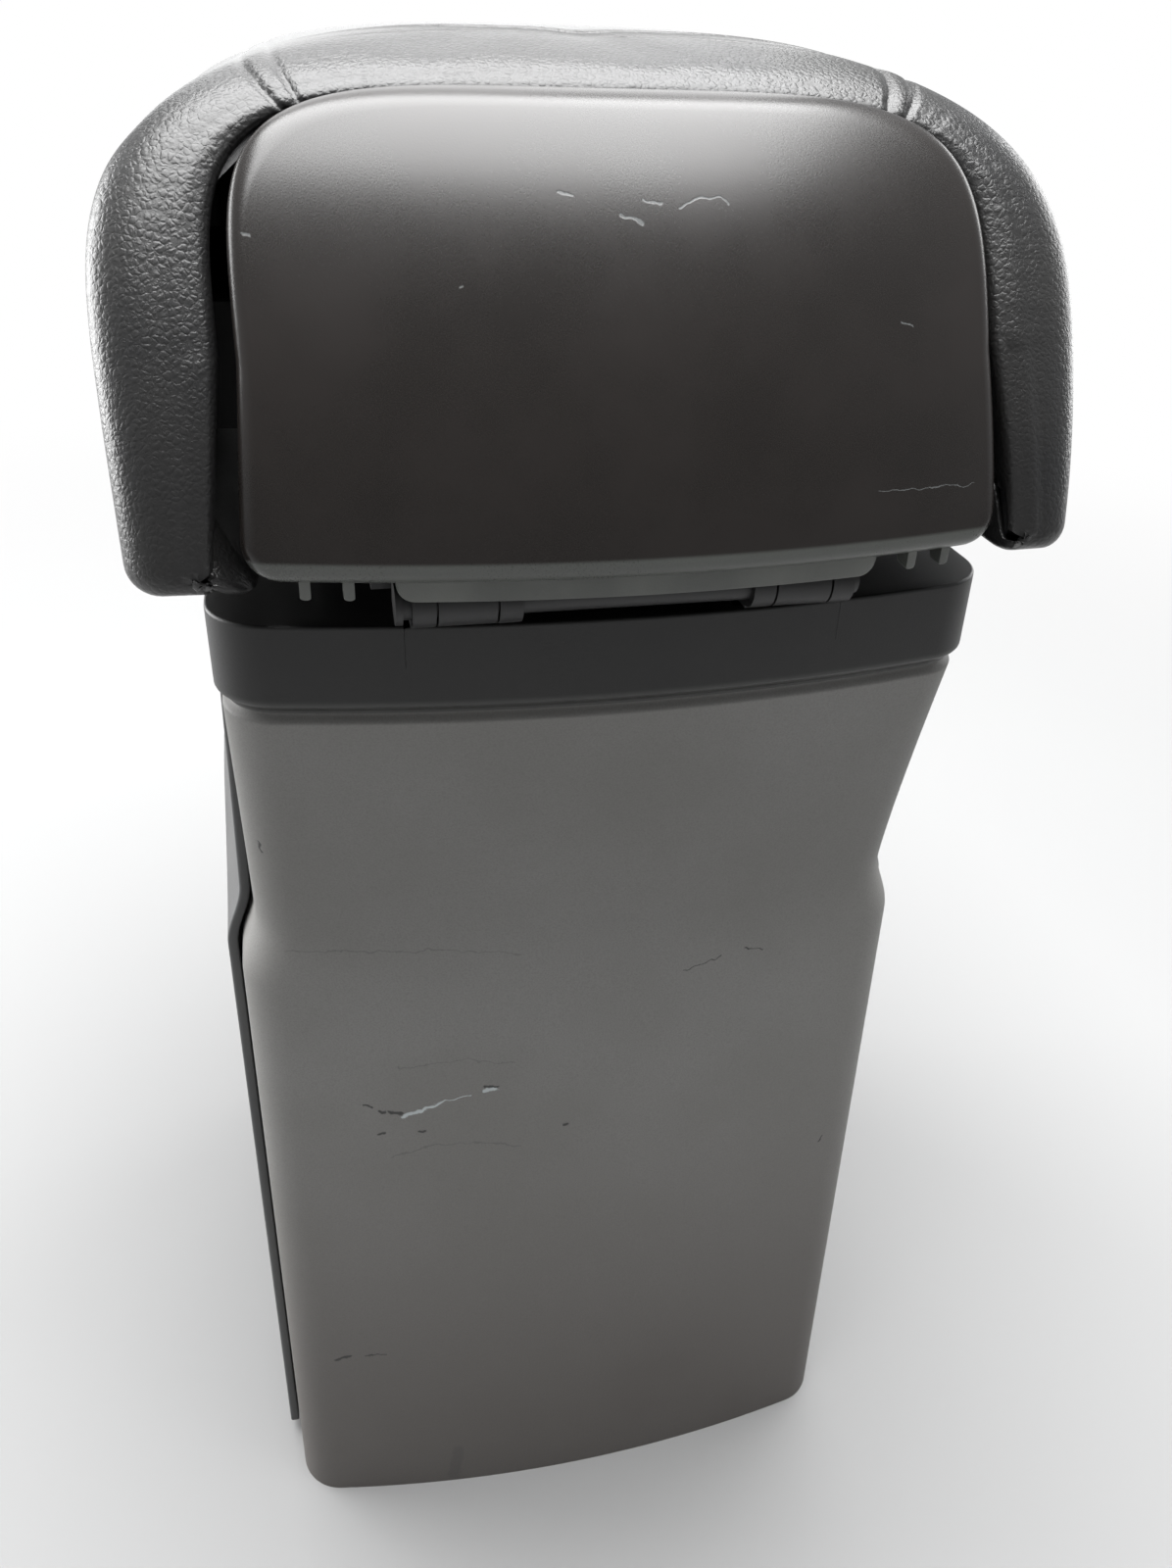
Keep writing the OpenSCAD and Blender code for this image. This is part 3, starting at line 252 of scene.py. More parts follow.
def make_piece(name, parts, material, slot, body, *replaced, wall=0.0, sharp=35):
    """One mesh of several (points in mm, quads) parts. It is turned outwards if its volume comes
    out negative, gets a wall of the given thickness inwards, rides on its body and stands for
    the CAD nodes named."""
    points, quads, start = [], [], 0
    for part, faces in parts:
        part = part.reshape(-1, 3)
        points.append(part)
        quads.append(faces + start)
        start += len(part)
    points, quads = np.concatenate(points) * 0.001, np.concatenate(quads)
    a, b, c, d = (points[quads[:, i]] for i in range(4))
    middle = (points.min(axis=0) + points.max(axis=0)) / 2
    if np.sum((a + b + c + d - 4 * middle) * np.cross(c - a, d - b)) < 0:
        quads = quads[:, ::-1]
    mesh = bpy.data.meshes.new(name)
    mesh.from_pydata(points, [], quads.tolist())
    weld = bmesh.new()
    weld.from_mesh(mesh)
    bmesh.ops.remove_doubles(weld, verts=weld.verts, dist=2e-6)
    weld.to_mesh(mesh)
    weld.free()
    mesh.shade_smooth()
    mesh.set_sharp_from_angle(angle=np.radians(sharp))
    made = bpy.data.objects.new(name, mesh)
    collection.objects.link(made)
    mesh.materials.append(material)
    if wall:
        solid = made.modifiers.new("wall", "SOLIDIFY")
        solid.thickness, solid.offset, solid.use_rim = wall * 0.001, -1, True
    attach(made, body)
    if replaced:
        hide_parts(*replaced)
    return made


shoulder_z, waist_z, collar_z = 185.5, 201.5, 262


def shell_half(z, rise):
    """Half-width at height z: 79 to 77.5 mm up to the shoulder, then eased in to 73.3 mm."""
    low = between(79, 77.5, np.clip(z / shoulder_z, 0, 1))
    return between(low, 73.3, ease((z - shoulder_z - rise) / (16 + rise / 3)))


def back_line(z):
    """Middle of the back: straight up to the waist, then leaning out by a power of 1.2."""
    lean = np.clip((z - waist_z) / (collar_z - waist_z), 0, 1) ** 1.2
    return -123 - 3.2 * np.clip(1 - z / waist_z, 0, 1) - 15 * lean


def panel_lip(z):
    """How far the side panels stand out past the shells: 3.4 mm, less above the waist."""
    return between(3.4, 0.7, np.clip((z - waist_z) / (collar_z - waist_z), 0, 1))


def half_outline(half, back, r, wing, step_y=None, step=0.0):
    """Right half of an outline seen from above, one row a level: along the back, which bulges as
    a parabola by 6 mm, round the corner of radius r, and along the wing, which steps in."""
    half, back, r, wing = (np.atleast_1d(v)[:, None]
                           for v in np.broadcast_arrays(half, back, r, wing))
    a = np.arctan(12 / (half - r))
    k = np.linspace(0, 1, 33)
    t = (a - np.pi / 2) * (1 - np.linspace(0, 1, 21)[1:])
    end = back + 6 + r * np.cos(a)
    x = [(half - r * (1 - np.sin(a))) * k, half - r + r * np.cos(t)]
    y = [back + 6 * k * k, end + r * np.sin(t)]
    if step_y is None:
        y.append(between(end, wing, spaced(0, (1, 12))[1:]))
        x.append(half + 0 * y[-1])
    else:
        step_y, step = np.atleast_1d(step_y)[:, None], np.atleast_1d(step)[:, None]
        y.append(np.concatenate([between(end, step_y, spaced(0, (1, 4))[1:]),
                                 step_y + spaced(0, (1, 6))[1:],
                                 between(step_y + 1, wing, spaced(0, (1, 8))[1:])], axis=1))
        x.append(half - step * ease(y[-1] - step_y))
    return np.concatenate(x, axis=1), np.concatenate(y, axis=1)


def shell_wall(z, rise, back, wing, step_y):
    """Wall of 2.2 mm through the outlines of all levels; it necks in by 1.7 mm under the collar."""
    neck = 1.7 * ease((z - 259.8) / 2)
    half = shell_half(np.minimum(z, collar_z), rise) - neck
    step = np.maximum(3 - panel_lip(z), 0)
    rows = []
    for t, sign in ((0, 1), (2.2, -1)):
        x, y = half_outline(half - t, back + neck + t, 12 - neck - t, wing, step_y - t / 2.2, step)
        x = np.concatenate([-x[:, :0:-1], x], axis=1)[:, ::sign]
        y = np.concatenate([y[:, :0:-1], y], axis=1)[:, ::sign]
        rows.append(np.stack([x, y, np.broadcast_to(z[:, None], x.shape)], axis=-1))
    return np.concatenate(rows, axis=1)


def scratched(tree, place, marks, wobble=0.0006):
    """Mask of strokes in the X-Z plane: 1 on a stroke. Each mark is (x, z, x, z, half-width) in
    mm; noise makes their courses uneven."""
    flat = tree.vector("MULTIPLY", tree.shaken(place, 420.0, wobble * 4), (1, 0, 1))
    mask = None
    for x0, z0, x1, z1, width in marks:
        start, run = Vector((x0, 0, z0)) * 0.001, Vector((x1 - x0, 0, z1 - z0)) * 0.001
        away = tree.vector("SUBTRACT", flat, tuple(start))
        along = tree.vector("DOT_PRODUCT", away, tuple(run), out="Value") / run.length_squared
        along = along.most(0.0).least(1.0)
        foot = tree.vector("SCALE", tuple(run), Scale=along)
        gap = tree.vector("LENGTH", tree.vector("SUBTRACT", away, foot), out="Value")
        stroke = gap.ramp(width * 0.0003, width * 0.0009, 1.0, 0.0)
        mask = stroke if mask is None else mask.most(stroke)
    return mask


def grey_moulding():
    """Warm grey plastic: fine grain, faint broad blotches, the scuffs of the real piece, and
    painted shade that darkens it towards the foot.
    """
    material = bpy.data.materials.new("grey_moulding")
    tree = Tree(material)
    place = tree.place()
    grain = tree.noise(place, 2600, 3, 0.6)
    blotch = tree.noise(place, 22, 3)
    tint = tree.mix(blotch.ramp(0.3, 0.7), (0.168, 0.165, 0.156, 1), (0.193, 0.190, 0.183, 1))
    tint = tree.mix(grain.ramp(0.35, 0.75, 0.0, 0.4), tint, (0.110, 0.107, 0.101, 1))
    # Painted shade: the shell's colour is darkened towards its foot, broken up by the blotches.
    foot_painted_shade = tree.part(place, 2).ramp(0.02, 0.17, 0.85, 0.0)
    tint = tree.mix(foot_painted_shade * (blotch * 0.4 + 0.8), tint, (0.090, 0.081, 0.075, 1))
    behind = tree.part(place, 1).ramp(-0.1, -0.09, 1.0, 0.0)
    dark = scratched(tree, place, [
        (-54, 151.8, -52, 151.2, 0.5), (-50.4, 149.7, -48.6, 149.3, 0.5),
        (-47.4, 149.2, -45.4, 148.6, 0.9), (-25.2, 155.0, -22.4, 154.6, 0.7),
        (-50.4, 142.4, -49.8, 142.4, 0.7), (-41, 142.8, -40.3, 142.6, 0.6),
        (-6.2, 140.2, -5.7, 140.3, 0.8), (-66.4, 58.9, -62.5, 60.3, 0.8),
        (-59, 60.1, -53, 60.7, 0.35), (65.2, 114.2, 65.9, 116.4, 0.4),
        (-70.3, 227.2, -69.6, 224.4, 0.4), (30.1, 185.5, 21, 183.2, 0.22),
        (36.2, 186.4, 40.8, 185.6, 0.25)])
    faint = scratched(tree, place, [
        (-67.6, 196.7, -49, 196.4, 0.3), (-49, 196.4, -34, 196.2, 0.3),
        (-34, 196.2, -17, 193.6, 0.2), (-48, 134.5, -38.5, 137.8, 0.35),
        (-38.5, 137.8, -27, 137.4, 0.3), (-27, 137.4, -17, 134.6, 0.3),
        (-45, 163, -30, 164.2, 0.25), (-30, 164.2, -18, 161.8, 0.25), (-36.5, 2, -34.8, 14.5, 2.6)])
    white = scratched(tree, place, [
        (-44.6, 147.7, -40.4, 149.4, 0.7), (-40.4, 149.4, -34.6, 152.0, 0.5),
        (-34.6, 152.0, -29, 152.8, 0.25), (-25.4, 154.0, -22.6, 154.0, 0.7)])
    tint = tree.mix(faint * 0.35 * behind, tint, (0.05, 0.05, 0.05, 1))
    tint = tree.mix(dark * 0.9 * behind, tint, (0.018, 0.018, 0.018, 1))
    tint = tree.mix(white * 0.9 * behind, tint, (0.45, 0.49, 0.50, 1))
    cut = (dark + white) * behind
    bump = tree.add("ShaderNodeBump", {}, 0.5, 0.0001, Height=grain - cut * 1.5)
    tree.add("ShaderNodeOutputMaterial", {}, tree.add(
        "ShaderNodeBsdfPrincipled", {}, Base_Color=tint, Normal=bump,
        Roughness=grain * 0.12 + blotch * 0.08 + 0.52))
    return material


grey = grey_moulding()
levels = spaced(0, (170, 20), (212, 50), (259.4, 24), (collar_z, 10), (276.7, 4))
panel_rear = back_line(levels) + 26
rear_wall = shell_wall(levels, 0, back_line(levels), back_line(levels) + 44, panel_rear - 1.5)
make_piece("rear_shell_moulding", [walled(rear_wall)], grey, "grey_shell", "pedestal", "rear_shell")

# ---- Front shell ----------------------------------------------------------------------------
# The same moulding turned to the front of the car, upright, with the shoulder higher up.
front_wall = shell_wall(levels, 18, -59.0, -21.0, np.full(len(levels), -37.5))
front_wall[..., :2] *= -1
make_piece("front_shell_moulding", [walled(front_wall)], grey, "grey_shell", "pedestal",
           "front_shell")

# ---- Side panels ----------------------------------------------------------------------------
# Dark mouldings of 2.4 mm that close the pedestal's sides. Their rear edges stand a little proud
# of the rear shell; their shoulder line climbs and fades out towards the front.
def moulded(name, low, high, rough, bump=0.4, size=2600, rub=60, metallic=0.0, place_by=(1, 1, 0.3),
            painted_highlight_below=None):
    """Moulded or plated finish: a colour between low and high in broad drifts, and a fine grain.
    Its last argument, if given, is a height and a lighter colour painted below it as a painted
    highlight."""
    material = bpy.data.materials.new(name)
    tree = Tree(material)
    place = tree.place()
    grain = tree.noise(place, size, 3, 0.6)
    drift = tree.noise(tree.stretched(place, *place_by), rub, 4)
    tint = tree.mix(drift.ramp(0.35, 0.7), (*low, 1), (*high, 1))
    if painted_highlight_below:
        below = tree.part(place, 2).ramp(painted_highlight_below[0] - 0.0005, painted_highlight_below[0] + 0.0005, 1.0, 0.0)
        tint = tree.mix(below * (drift * 0.6 + 0.4), tint, (*painted_highlight_below[1], 1))
    tree.add("ShaderNodeOutputMaterial", {}, tree.add(
        "ShaderNodeBsdfPrincipled", {}, Metallic=metallic, Base_Color=tint,
        Roughness=grain * 0.1 + drift * 0.1 + (rough - 0.1),
        Normal=tree.add("ShaderNodeBump", {}, bump, 0.0001, Height=grain)))
    return material


dark = moulded("dark_moulding", (0.060, 0.061, 0.062), (0.080, 0.081, 0.080), 0.47)
panel_z = spaced(6, (170, 20), (245, 70), (259.8, 6))
panel_y0 = (back_line(panel_z) + 26)[:, None]
along = spaced(0, (0.2, 24), (1, 30))[None]
turn = np.radians(np.linspace(0, 90, 9))[None, :-1]
panel_y = np.concatenate([panel_y0 + 0.8 * (1 - np.cos(turn)), between(panel_y0 + 0.8, 35, along),
                          between(panel_y0 + 0.4, 35, along)[:, ::-1],
                          panel_y0 + 0.4 * (1 - np.sin(turn))], axis=1)
panel_in = np.concatenate([0.8 * (1 - np.sin(turn)), 0 * along, 0 * along + 2.4,
                           2.4 - 0.4 * (1 - np.cos(turn))], axis=1)
climb = 18 * ease((panel_y - (back_line(np.array(shoulder_z)) + 26)) / 75)
panel_x = shell_half(panel_z[:, None], climb) + panel_lip(panel_z)[:, None] - panel_in
for side, name in ((1, "right"), (-1, "left")):
    wall = np.stack([side * panel_x, panel_y,
                     np.broadcast_to(panel_z[:, None], panel_x.shape)], axis=-1)
    make_piece("side_panel_" + name + "_moulding", [walled(wall)], dark, "dark_panel", "pedestal",
               "side_panel_" + name)

# ---- Collar ---------------------------------------------------------------------------------
# The black band round the pedestal's top, with a soft bevel at its lower edge, in one piece with
# the deck. The bin hangs in the deck's opening and the hinge's ears come up through two slots.
def collar_loop(inset):
    """Closed outline of the collar, inset by some millimetres: both ends bulge by 6 mm."""
    halves = []
    for back, wing, sign in ((-139 + inset, -33.25, 1), (-60 + inset, 33.25, -1)):
        x, y = half_outline(74.3 - inset, back, max(13 - inset, 1), wing)
        halves.append(sign * np.stack([np.concatenate([-x[0, :0:-1], x[0]]),
                                       np.concatenate([y[0, :0:-1], y[0]])], axis=-1)[:-1])
    return np.concatenate(halves)


def pulled_in(loop, share):
    """Points between an outline (share 0) and the bin's opening (share 1), each on its ray from the
    opening's middle; the opening is 112.6 by 144.5 mm with corners of 12 mm."""
    middle = np.array([0, -33.25])
    low, high = np.zeros(len(loop)), np.ones(len(loop))
    for _ in range(30):
        scale = (low + high) / 2
        gap = np.abs((loop - middle) * scale[:, None]) - (56.3 - 12, 72.25 - 12)
        inside = np.hypot(*np.maximum(gap, 0).T) + np.minimum(gap.max(axis=1), 0) < 12
        low, high = np.where(inside, scale, low), np.where(inside, high, scale)
    return between(loop, middle + (loop - middle) * low[:, None], share)


bend = np.radians(np.linspace(0, 90, 7))
collar_rows = [(0.6 - 0.6 * np.sin(t), 279.4 + 0.6 * np.cos(t)) for t in bend]
collar_rows += [(0, z) for z in np.linspace(279.2, 265.2, 12)]
collar_rows += [(2 * ease(t) ** 1.2, 264.9 - 2.6 * t) for t in np.linspace(0.08, 0.94, 9)]
collar_rows += [(2.05, 262.1), (2.2, 262), (2.4, 262.1), (2.4, 270), (2.4, 277)]
collar_loops = [(collar_loop(inset), z) for inset, z in collar_rows]
collar_loops += [(pulled_in(collar_loop(2.4), share), 277) for share in (0.3, 0.7, 1)]
collar_loops += [(pulled_in(collar_loop(0.6), share), z) for share, z in (
    (1, 278.5), (1, 279.6), (0.97, 280), (0.7, 280), (0.35, 280), (0.1, 280), (0, 280))]
collar_rings = np.array([np.column_stack([loop, np.full(len(loop), z)])
                         for loop, z in collar_loops])
# Painted highlight: below 265.2 mm, the collar's lower bevel is painted a lighter grey, standing in
# for the pale table's light it catches.
black = moulded("black_moulding", (0.0055, 0.0055, 0.0055), (0.0085, 0.0083, 0.0080), 0.46, 0.35,
                painted_highlight_below=(0.2652, (0.035, 0.035, 0.033)))
collar = make_piece("collar_moulding", [(collar_rings, join_grid(collar_rings, around=True))],
                    black, "black_plastic", "pedestal", "collar")
for side in (-1, 1):
    cutter = bpy.data.meshes.new("slot")
    cut = bmesh.new()
    bmesh.ops.create_cube(cut, size=1, matrix=Matrix.Translation((side * 0.030, -0.12305, 0.278))
                          @ Matrix.Diagonal((0.0208, 0.0271, 0.012, 1)))
    cut.to_mesh(cutter)
    cut.free()
    tool = bpy.data.objects.new("slot", cutter)
    collection.objects.link(tool)
    opening = collar.modifiers.new("slot", "BOOLEAN")
    opening.operation, opening.object, opening.solver = "DIFFERENCE", tool, "EXACT"
    graph = bpy.context.evaluated_depsgraph_get()
    collar.data = bpy.data.meshes.new_from_object(collar.evaluated_get(graph))
    collar.modifiers.clear()
    bpy.data.objects.remove(tool)
collar.data.set_sharp_from_angle(angle=np.radians(35))

# ---- End cap --------------------------------------------------------------------------------
# Hard black plastic with a satin face: it closes the lid's rear end, leaning forward to its crown.
# Behind its rolled lip hang the tab that hides the hinge and the ends of four ribs.
def rake(t):
    """Lean of the lid's rear end, from 0 at the bottom to 1 at the crown, where it lies level:
    1 - (1 - t^1.4)^(1/1.4)."""
    return 1 - (1 - np.clip(t, 0, 1) ** 1.4) ** (1 / 1.4)


def arch(half, top, spring, power, turns):
    """Quarter of a superellipse from its spring line to its crown, at the angles given."""
    x = half * np.cos(turns) ** (2 / power)
    return np.stack([x, spring + (top - spring) * np.sin(turns) ** (2 / power)], axis=-1)


def even_turns(half, rise, power, n):
    """Angles that divide such an arch into n even lengths, and its whole length."""
    t = np.radians(np.concatenate([[0], np.geomspace(1e-5, 1, 400), np.linspace(1, 89, 2000)[1:],
                                   90 - np.geomspace(1, 1e-5, 400)[1:], [90]]))
    p = arch(half, rise, 0, power, np.clip(t, 0, np.pi / 2))
    length = np.concatenate([[0], np.cumsum(np.hypot(*np.diff(p, axis=0).T))])
    return np.interp(np.linspace(0, length[-1], n + 1), length, t), length[-1]


cap_half, cap_top, cap_spring, cap_power, lip_z = 63.8, 361, 323.2, 4.8, 291
cap_turns, _ = even_turns(cap_half, cap_top - cap_spring, cap_power, 90)


def cap_outline(inset, low):
    """Closed outline of the cap in x and z, from the middle of its bottom round the right side to
    the crown and back on the left: flanks that widen by 2.2 mm downwards, under an arch."""
    half, corner = cap_half - inset, max(6 - max(inset, low), 0.4)
    foot, floor = half + 2.2, lip_z + low
    t = np.linspace(-np.pi / 2, 0, 10)[:, None]
    parts = [np.column_stack([np.linspace(0, foot - corner, 50)[:-1], np.full(49, floor)]),
             np.column_stack([foot - corner + corner * np.cos(t),
                              floor + corner + corner * np.sin(t)]),
             between(np.array([foot, floor + corner]), np.array([half, cap_spring]),
                     spaced(0, (1, 26))[1:-1, None]),
             arch(half, cap_top - inset, cap_spring, cap_power, np.clip(cap_turns, 0, np.pi / 2))]
    right_side = np.concatenate(parts)
    return np.concatenate([right_side, right_side[-2:0:-1] * (-1, 1)])


def cap_y(x, z):
    """Depth of the cap's face: -150 + 7 (x / 63.8)^2 (1 - 0.3 t^2) + 39 rake(t), where t runs
    from 0 at the lip to 1 at the crown."""
    t = np.clip((z - lip_z) / (cap_top - lip_z), 0, 1)
    return -150 + 7 * (x / cap_half) ** 2 * (1 - 0.3 * t * t) + 39 * rake(t)


def cap_ring(outline, y):
    """Ring of points from an outline in x and z and its depths y."""
    return np.column_stack([outline[:, 0], y + 0 * outline[:, 0], outline[:, 1]])


cap_rings = []
inner = cap_outline(2.5, 4)
for k in 1 - (1 - np.linspace(0.02, 1, 45)) ** 1.5:
    spot = np.column_stack([inner[:, 0] * k, between(322.5, inner[:, 1], k)])
    cap_rings.append(cap_ring(spot, cap_y(*spot.T)))
for t in np.radians(np.linspace(0, 90, 10))[1:]:
    ring = cap_outline(2.5 * (1 - np.sin(t)), 4 * (1 - np.sin(t)))
    radius = between(2.5, 4, np.clip((299 - ring[:, 1]) / 8, 0, 1))
    cap_rings.append(cap_ring(ring, cap_y(*ring.T) + radius * (1 - np.cos(t))))
outer, sleeve = cap_outline(0, 0), cap_outline(6.5, 0)
up_share = (outer[:, 1] - lip_z) / (cap_top - lip_z)
edge_y = cap_y(*outer.T) + 2.5 + between(6, 0.5, ease((up_share - 0.46) / 0.5))
for ring, y in ((outer, edge_y), (sleeve, edge_y + 1),
                (sleeve, np.maximum(edge_y + 1.2, -117)), (sleeve, -61)):
    cap_rings.append(cap_ring(ring, y))
cap_rings = np.array(cap_rings)
open_below = np.ones((len(cap_rings) - 1, cap_rings.shape[1]), dtype=bool)
bottom = np.abs(np.arange(len(outer)) - len(outer) / 2) > len(outer) / 2 - 54
open_below[-4:, bottom] = False
open_below[-1, np.maximum(outer[:, 1], np.roll(outer[:, 1], -1)) < 326.5] = False
hub = np.broadcast_to((0, cap_y(0, 322.5), 322.5), cap_rings[:1].shape)
hub = np.concatenate([hub, cap_rings[:1]])


def bar(x, y, low, high, depth, edge=0.5):
    """Upright bar whose section, depth thick with soft lower edges, follows x and its y and low."""
    rings = []
    for along_y, up in ((edge, 0), (0.3 * edge, 0.3 * edge), (0, edge), (0, None),
                        (depth, None), (depth, edge), (depth - 0.3 * edge, 0.3 * edge),
                        (depth - edge, 0)):
        rings.append(np.column_stack([x, y + along_y, high + 0 * x if up is None else low + up]))
    return walled(np.stack(rings, axis=1))


def satin_black():
    """Satin black plastic with small light nicks, as the real cap has, and a painted highlight on
    the underside of its rolled lip.
    """
    material = bpy.data.materials.new("satin_black")
    tree = Tree(material)
    place = tree.place()
    grain = tree.noise(place, 3200, 2)
    smear = tree.noise(tree.stretched(place, 1, 0.4, 1), 38, 4)
    nick = scratched(tree, place, [
        (-12.2, 347.4, -10.3, 346.8, 0.3), (-2.9, 344.3, 0.8, 343.3, 0.35),
        (1.0, 346.3, 4.2, 345.8, 0.25), (7.1, 345.3, 9.4, 346.5, 0.25),
        (9.4, 346.5, 14.1, 346.8, 0.3), (14.1, 346.8, 15.5, 346.0, 0.25),
        (-61.2, 341.0, -60.2, 340.9, 0.3), (-29, 334.7, -28.8, 334.7, 0.3),
        (45.1, 328.7, 47.4, 328.0, 0.25), (40.6, 303.2, 60.3, 302.7, 0.12)], 0.0004)
    rear = tree.part(place, 1).ramp(-0.1, -0.09, 1.0, 0.0)
    tint = tree.mix(smear.ramp(0.35, 0.7), (0.0115, 0.0095, 0.0085, 1), (0.0160, 0.0132, 0.0120, 1))
    # Painted highlight: the rear of the rolled lip's underside is painted light grey, standing in
    # for the pale table it mirrors.
    lip_painted_sheen = tree.part(place, 2).ramp(0.2946, 0.2954, 1.0, 0.0) * (
        grain * 0.3 + smear * 0.5 + 0.45) * rear
    tint = tree.mix(lip_painted_sheen, tint, (0.085, 0.090, 0.083, 1))
    tint = tree.mix(nick * rear, tint, (0.11, 0.115, 0.115, 1))
    tree.add("ShaderNodeOutputMaterial", {}, tree.add(
        "ShaderNodeBsdfPrincipled", {}, Base_Color=tint,
        Roughness=grain * 0.06 + smear * 0.1 + 0.20,
        Normal=tree.add("ShaderNodeBump", {}, 0.22, 0.0001, Height=grain * 0.5 - nick)))
    return material


tab_x = 42 * np.sin(np.linspace(-1, 1, 61) * np.pi / 2)
round_end = np.clip(np.abs(tab_x) - 39, 0, 3) / 3
tab = bar(tab_x, cap_y(tab_x, lip_z) + 2.2, 287.8 + 3 * (1 - np.sqrt(1 - round_end ** 2)), 294, 2.4)
ribs = []
for place_x in (-56.5, -49.5, 49.5, 56.5):
    rib_x = place_x + 0.9 * np.sin(np.linspace(-1, 1, 9) * np.pi / 2)
    round_end = 0.5 * (1 - np.sqrt(1 - ((rib_x - place_x) / 0.9) ** 2))
    ribs.append(bar(rib_x, cap_y(rib_x, lip_z) + 2.2, 288 + round_end, 296, 4))
make_piece("end_cap_moulding", [(cap_rings, join_grid(cap_rings, around=True, keep=open_below)),
                                (hub, join_grid(hub, around=True))],
           satin_black(), "cap_plastic", "lid", "end_cap", wall=2.4)
# Painted highlight: the tab and rib ends use a much lighter copy of the cap's black, standing in
# for light from the table below.
tab_painted_sheen = moulded("tab_painted_sheen", (0.070, 0.074, 0.068), (0.105, 0.110, 0.100), 0.4)
make_piece("end_cap_tab", [tab] + ribs, tab_painted_sheen, "cap_plastic", "lid", "end_cap")

# ---- Pad cover ------------------------------------------------------------------------------
# Black pebbled leather, sewn from a middle and two side panels and pulled over the foam. Its rear
# rim is rolled in towards the end cap, where the seams end in notches and the right side gathers.
pad_half, pad_top, pad_spring, pad_power, pad_floor = 86, 368, 324.53, 3.1, 287.5
pad_high = pad_top - pad_floor


def pad_rake(z):
    """Depth of the pad's rear rim at height z: -141 + 50 rake(t), t from its floor to its top."""
    return -141 + 50 * rake((z - pad_floor) / pad_high)


side_n, arch_n = 30, 150
pad_turns, arch_length = even_turns(pad_half, pad_top - pad_spring, pad_power, arch_n)


def pad_row(inset, hang, shut):
    """Right half of the pad's outline in x and z, from the middle of its bottom to its crown: the
    flank's inner edge, its bottom, its side and the arch. hang is how far the cover is turned up
    inside the flank; shut (0 to 1) lays that part flat, to close the underside."""
    corner, foot, half, near = 5 - inset, pad_half - 1 - inset, pad_half - inset, 70.2
    floor = pad_floor + inset
    t = np.linspace(-np.pi / 2, 0, 9)[:, None]
    s = np.linspace(-np.pi, -np.pi / 2, 7)[:, None]
    middle = np.column_stack([np.linspace(0, 1, 13)[:-1] * between(71, 62, shut),
                              np.full(12, floor)])
    hung = np.column_stack([np.full(5, near), floor + 2.5 + hang * np.linspace(1, 0.15, 5)])
    rolled = np.column_stack([near + 2.5 + 2.5 * np.cos(s), floor + 2.5 + 2.5 * np.sin(s)])
    flat = np.column_stack([np.linspace(62, near + 2.5, 12), np.full(12, floor)])
    inside = between(np.concatenate([hung, rolled]), flat, shut)
    under = np.column_stack([np.linspace(near + 2.5, foot - corner, 7)[1:-1], np.full(5, floor)])
    rounded = np.column_stack([foot - corner + corner * np.cos(t),
                               floor + corner + corner * np.sin(t)])
    side_up = between(np.array([foot, floor + corner]), np.array([half, pad_spring]),
                      spaced(0, (1, side_n))[1:-1, None])
    over = arch(half, pad_top - inset, pad_spring, pad_power, np.clip(pad_turns, 0, np.pi / 2))
    return np.concatenate([middle, inside, under, rounded, side_up, over])


middle_n = 12
first_side = middle_n + 12 + 5 + 9


def frame_row(out):
    """Right half of the edge that frames the end cap, out mm wider than the narrowest place: it
    closes in on the cap from 5 mm beside its lip to 1 mm at its corners."""
    rise = np.concatenate([np.linspace(0, 0.12, first_side), np.linspace(0.12, 1, side_n)[1:]])
    flank = between(np.array([70.8 + out, 291.5 - out * 0.5]), np.array([66.6 + out, cap_spring]),
                    rise[:, None])
    over = arch(66.6 + out, 359.4 + out * 0.25, cap_spring, 4.5,
                np.clip(pad_turns, 0, np.pi / 2))
    return np.concatenate([flank, over])


rows = []
edge = frame_row(2.5)
for deep, out in ((12, 3.6), (9, 2), (6.5, 0.8), (4.6, 0.2)):
    rows.append(cap_ring(frame_row(out), pad_rake(edge[:, 1]) + deep))
for t in np.radians(np.linspace(90, 0, 7)):
    rows.append(cap_ring(frame_row(2.5 * (1 - np.sin(t))),
                         pad_rake(edge[:, 1]) + 2.5 * (1 - np.cos(t))))
for w in (0.07, 0.14, 0.21):
    row = between(edge, pad_row(0, 0.4, 0), w)
    rows.append(cap_ring(row, pad_rake(row[:, 1]) - 0.5 * np.sin(w / 0.28 * np.pi)))
for t in np.radians(np.linspace(0, 90, 23)):
    hang = between(0.4, 9, ease((t - 0.9) / 0.65))
    row = between(edge, pad_row(0, hang, 0), 0.28 + 0.72 * np.sin(t))
    rows.append(cap_ring(row, pad_rake(row[:, 1]) + 8.5 * (1 - np.cos(t))))
straight_y, nose_y, nose_sink = -80, 98, 1 - 4 / pad_high
body = pad_row(0, 9, 0)
rim_y = pad_rake(body[:, 1]) + 8.5
for t in spaced(0, (0.3, 14), (1, 14))[1:]:
    rows.append(cap_ring(body, between(rim_y, straight_y, t)))
closed = pad_row(0, 9, 1)
for y in spaced(straight_y, (nose_y, 50))[1:]:
    sink = between(1, nose_sink, (y - straight_y) / (nose_y - straight_y))
    rows.append(cap_ring(body * (1, sink) + (0, pad_floor * (1 - sink)), np.full(len(body), y)))
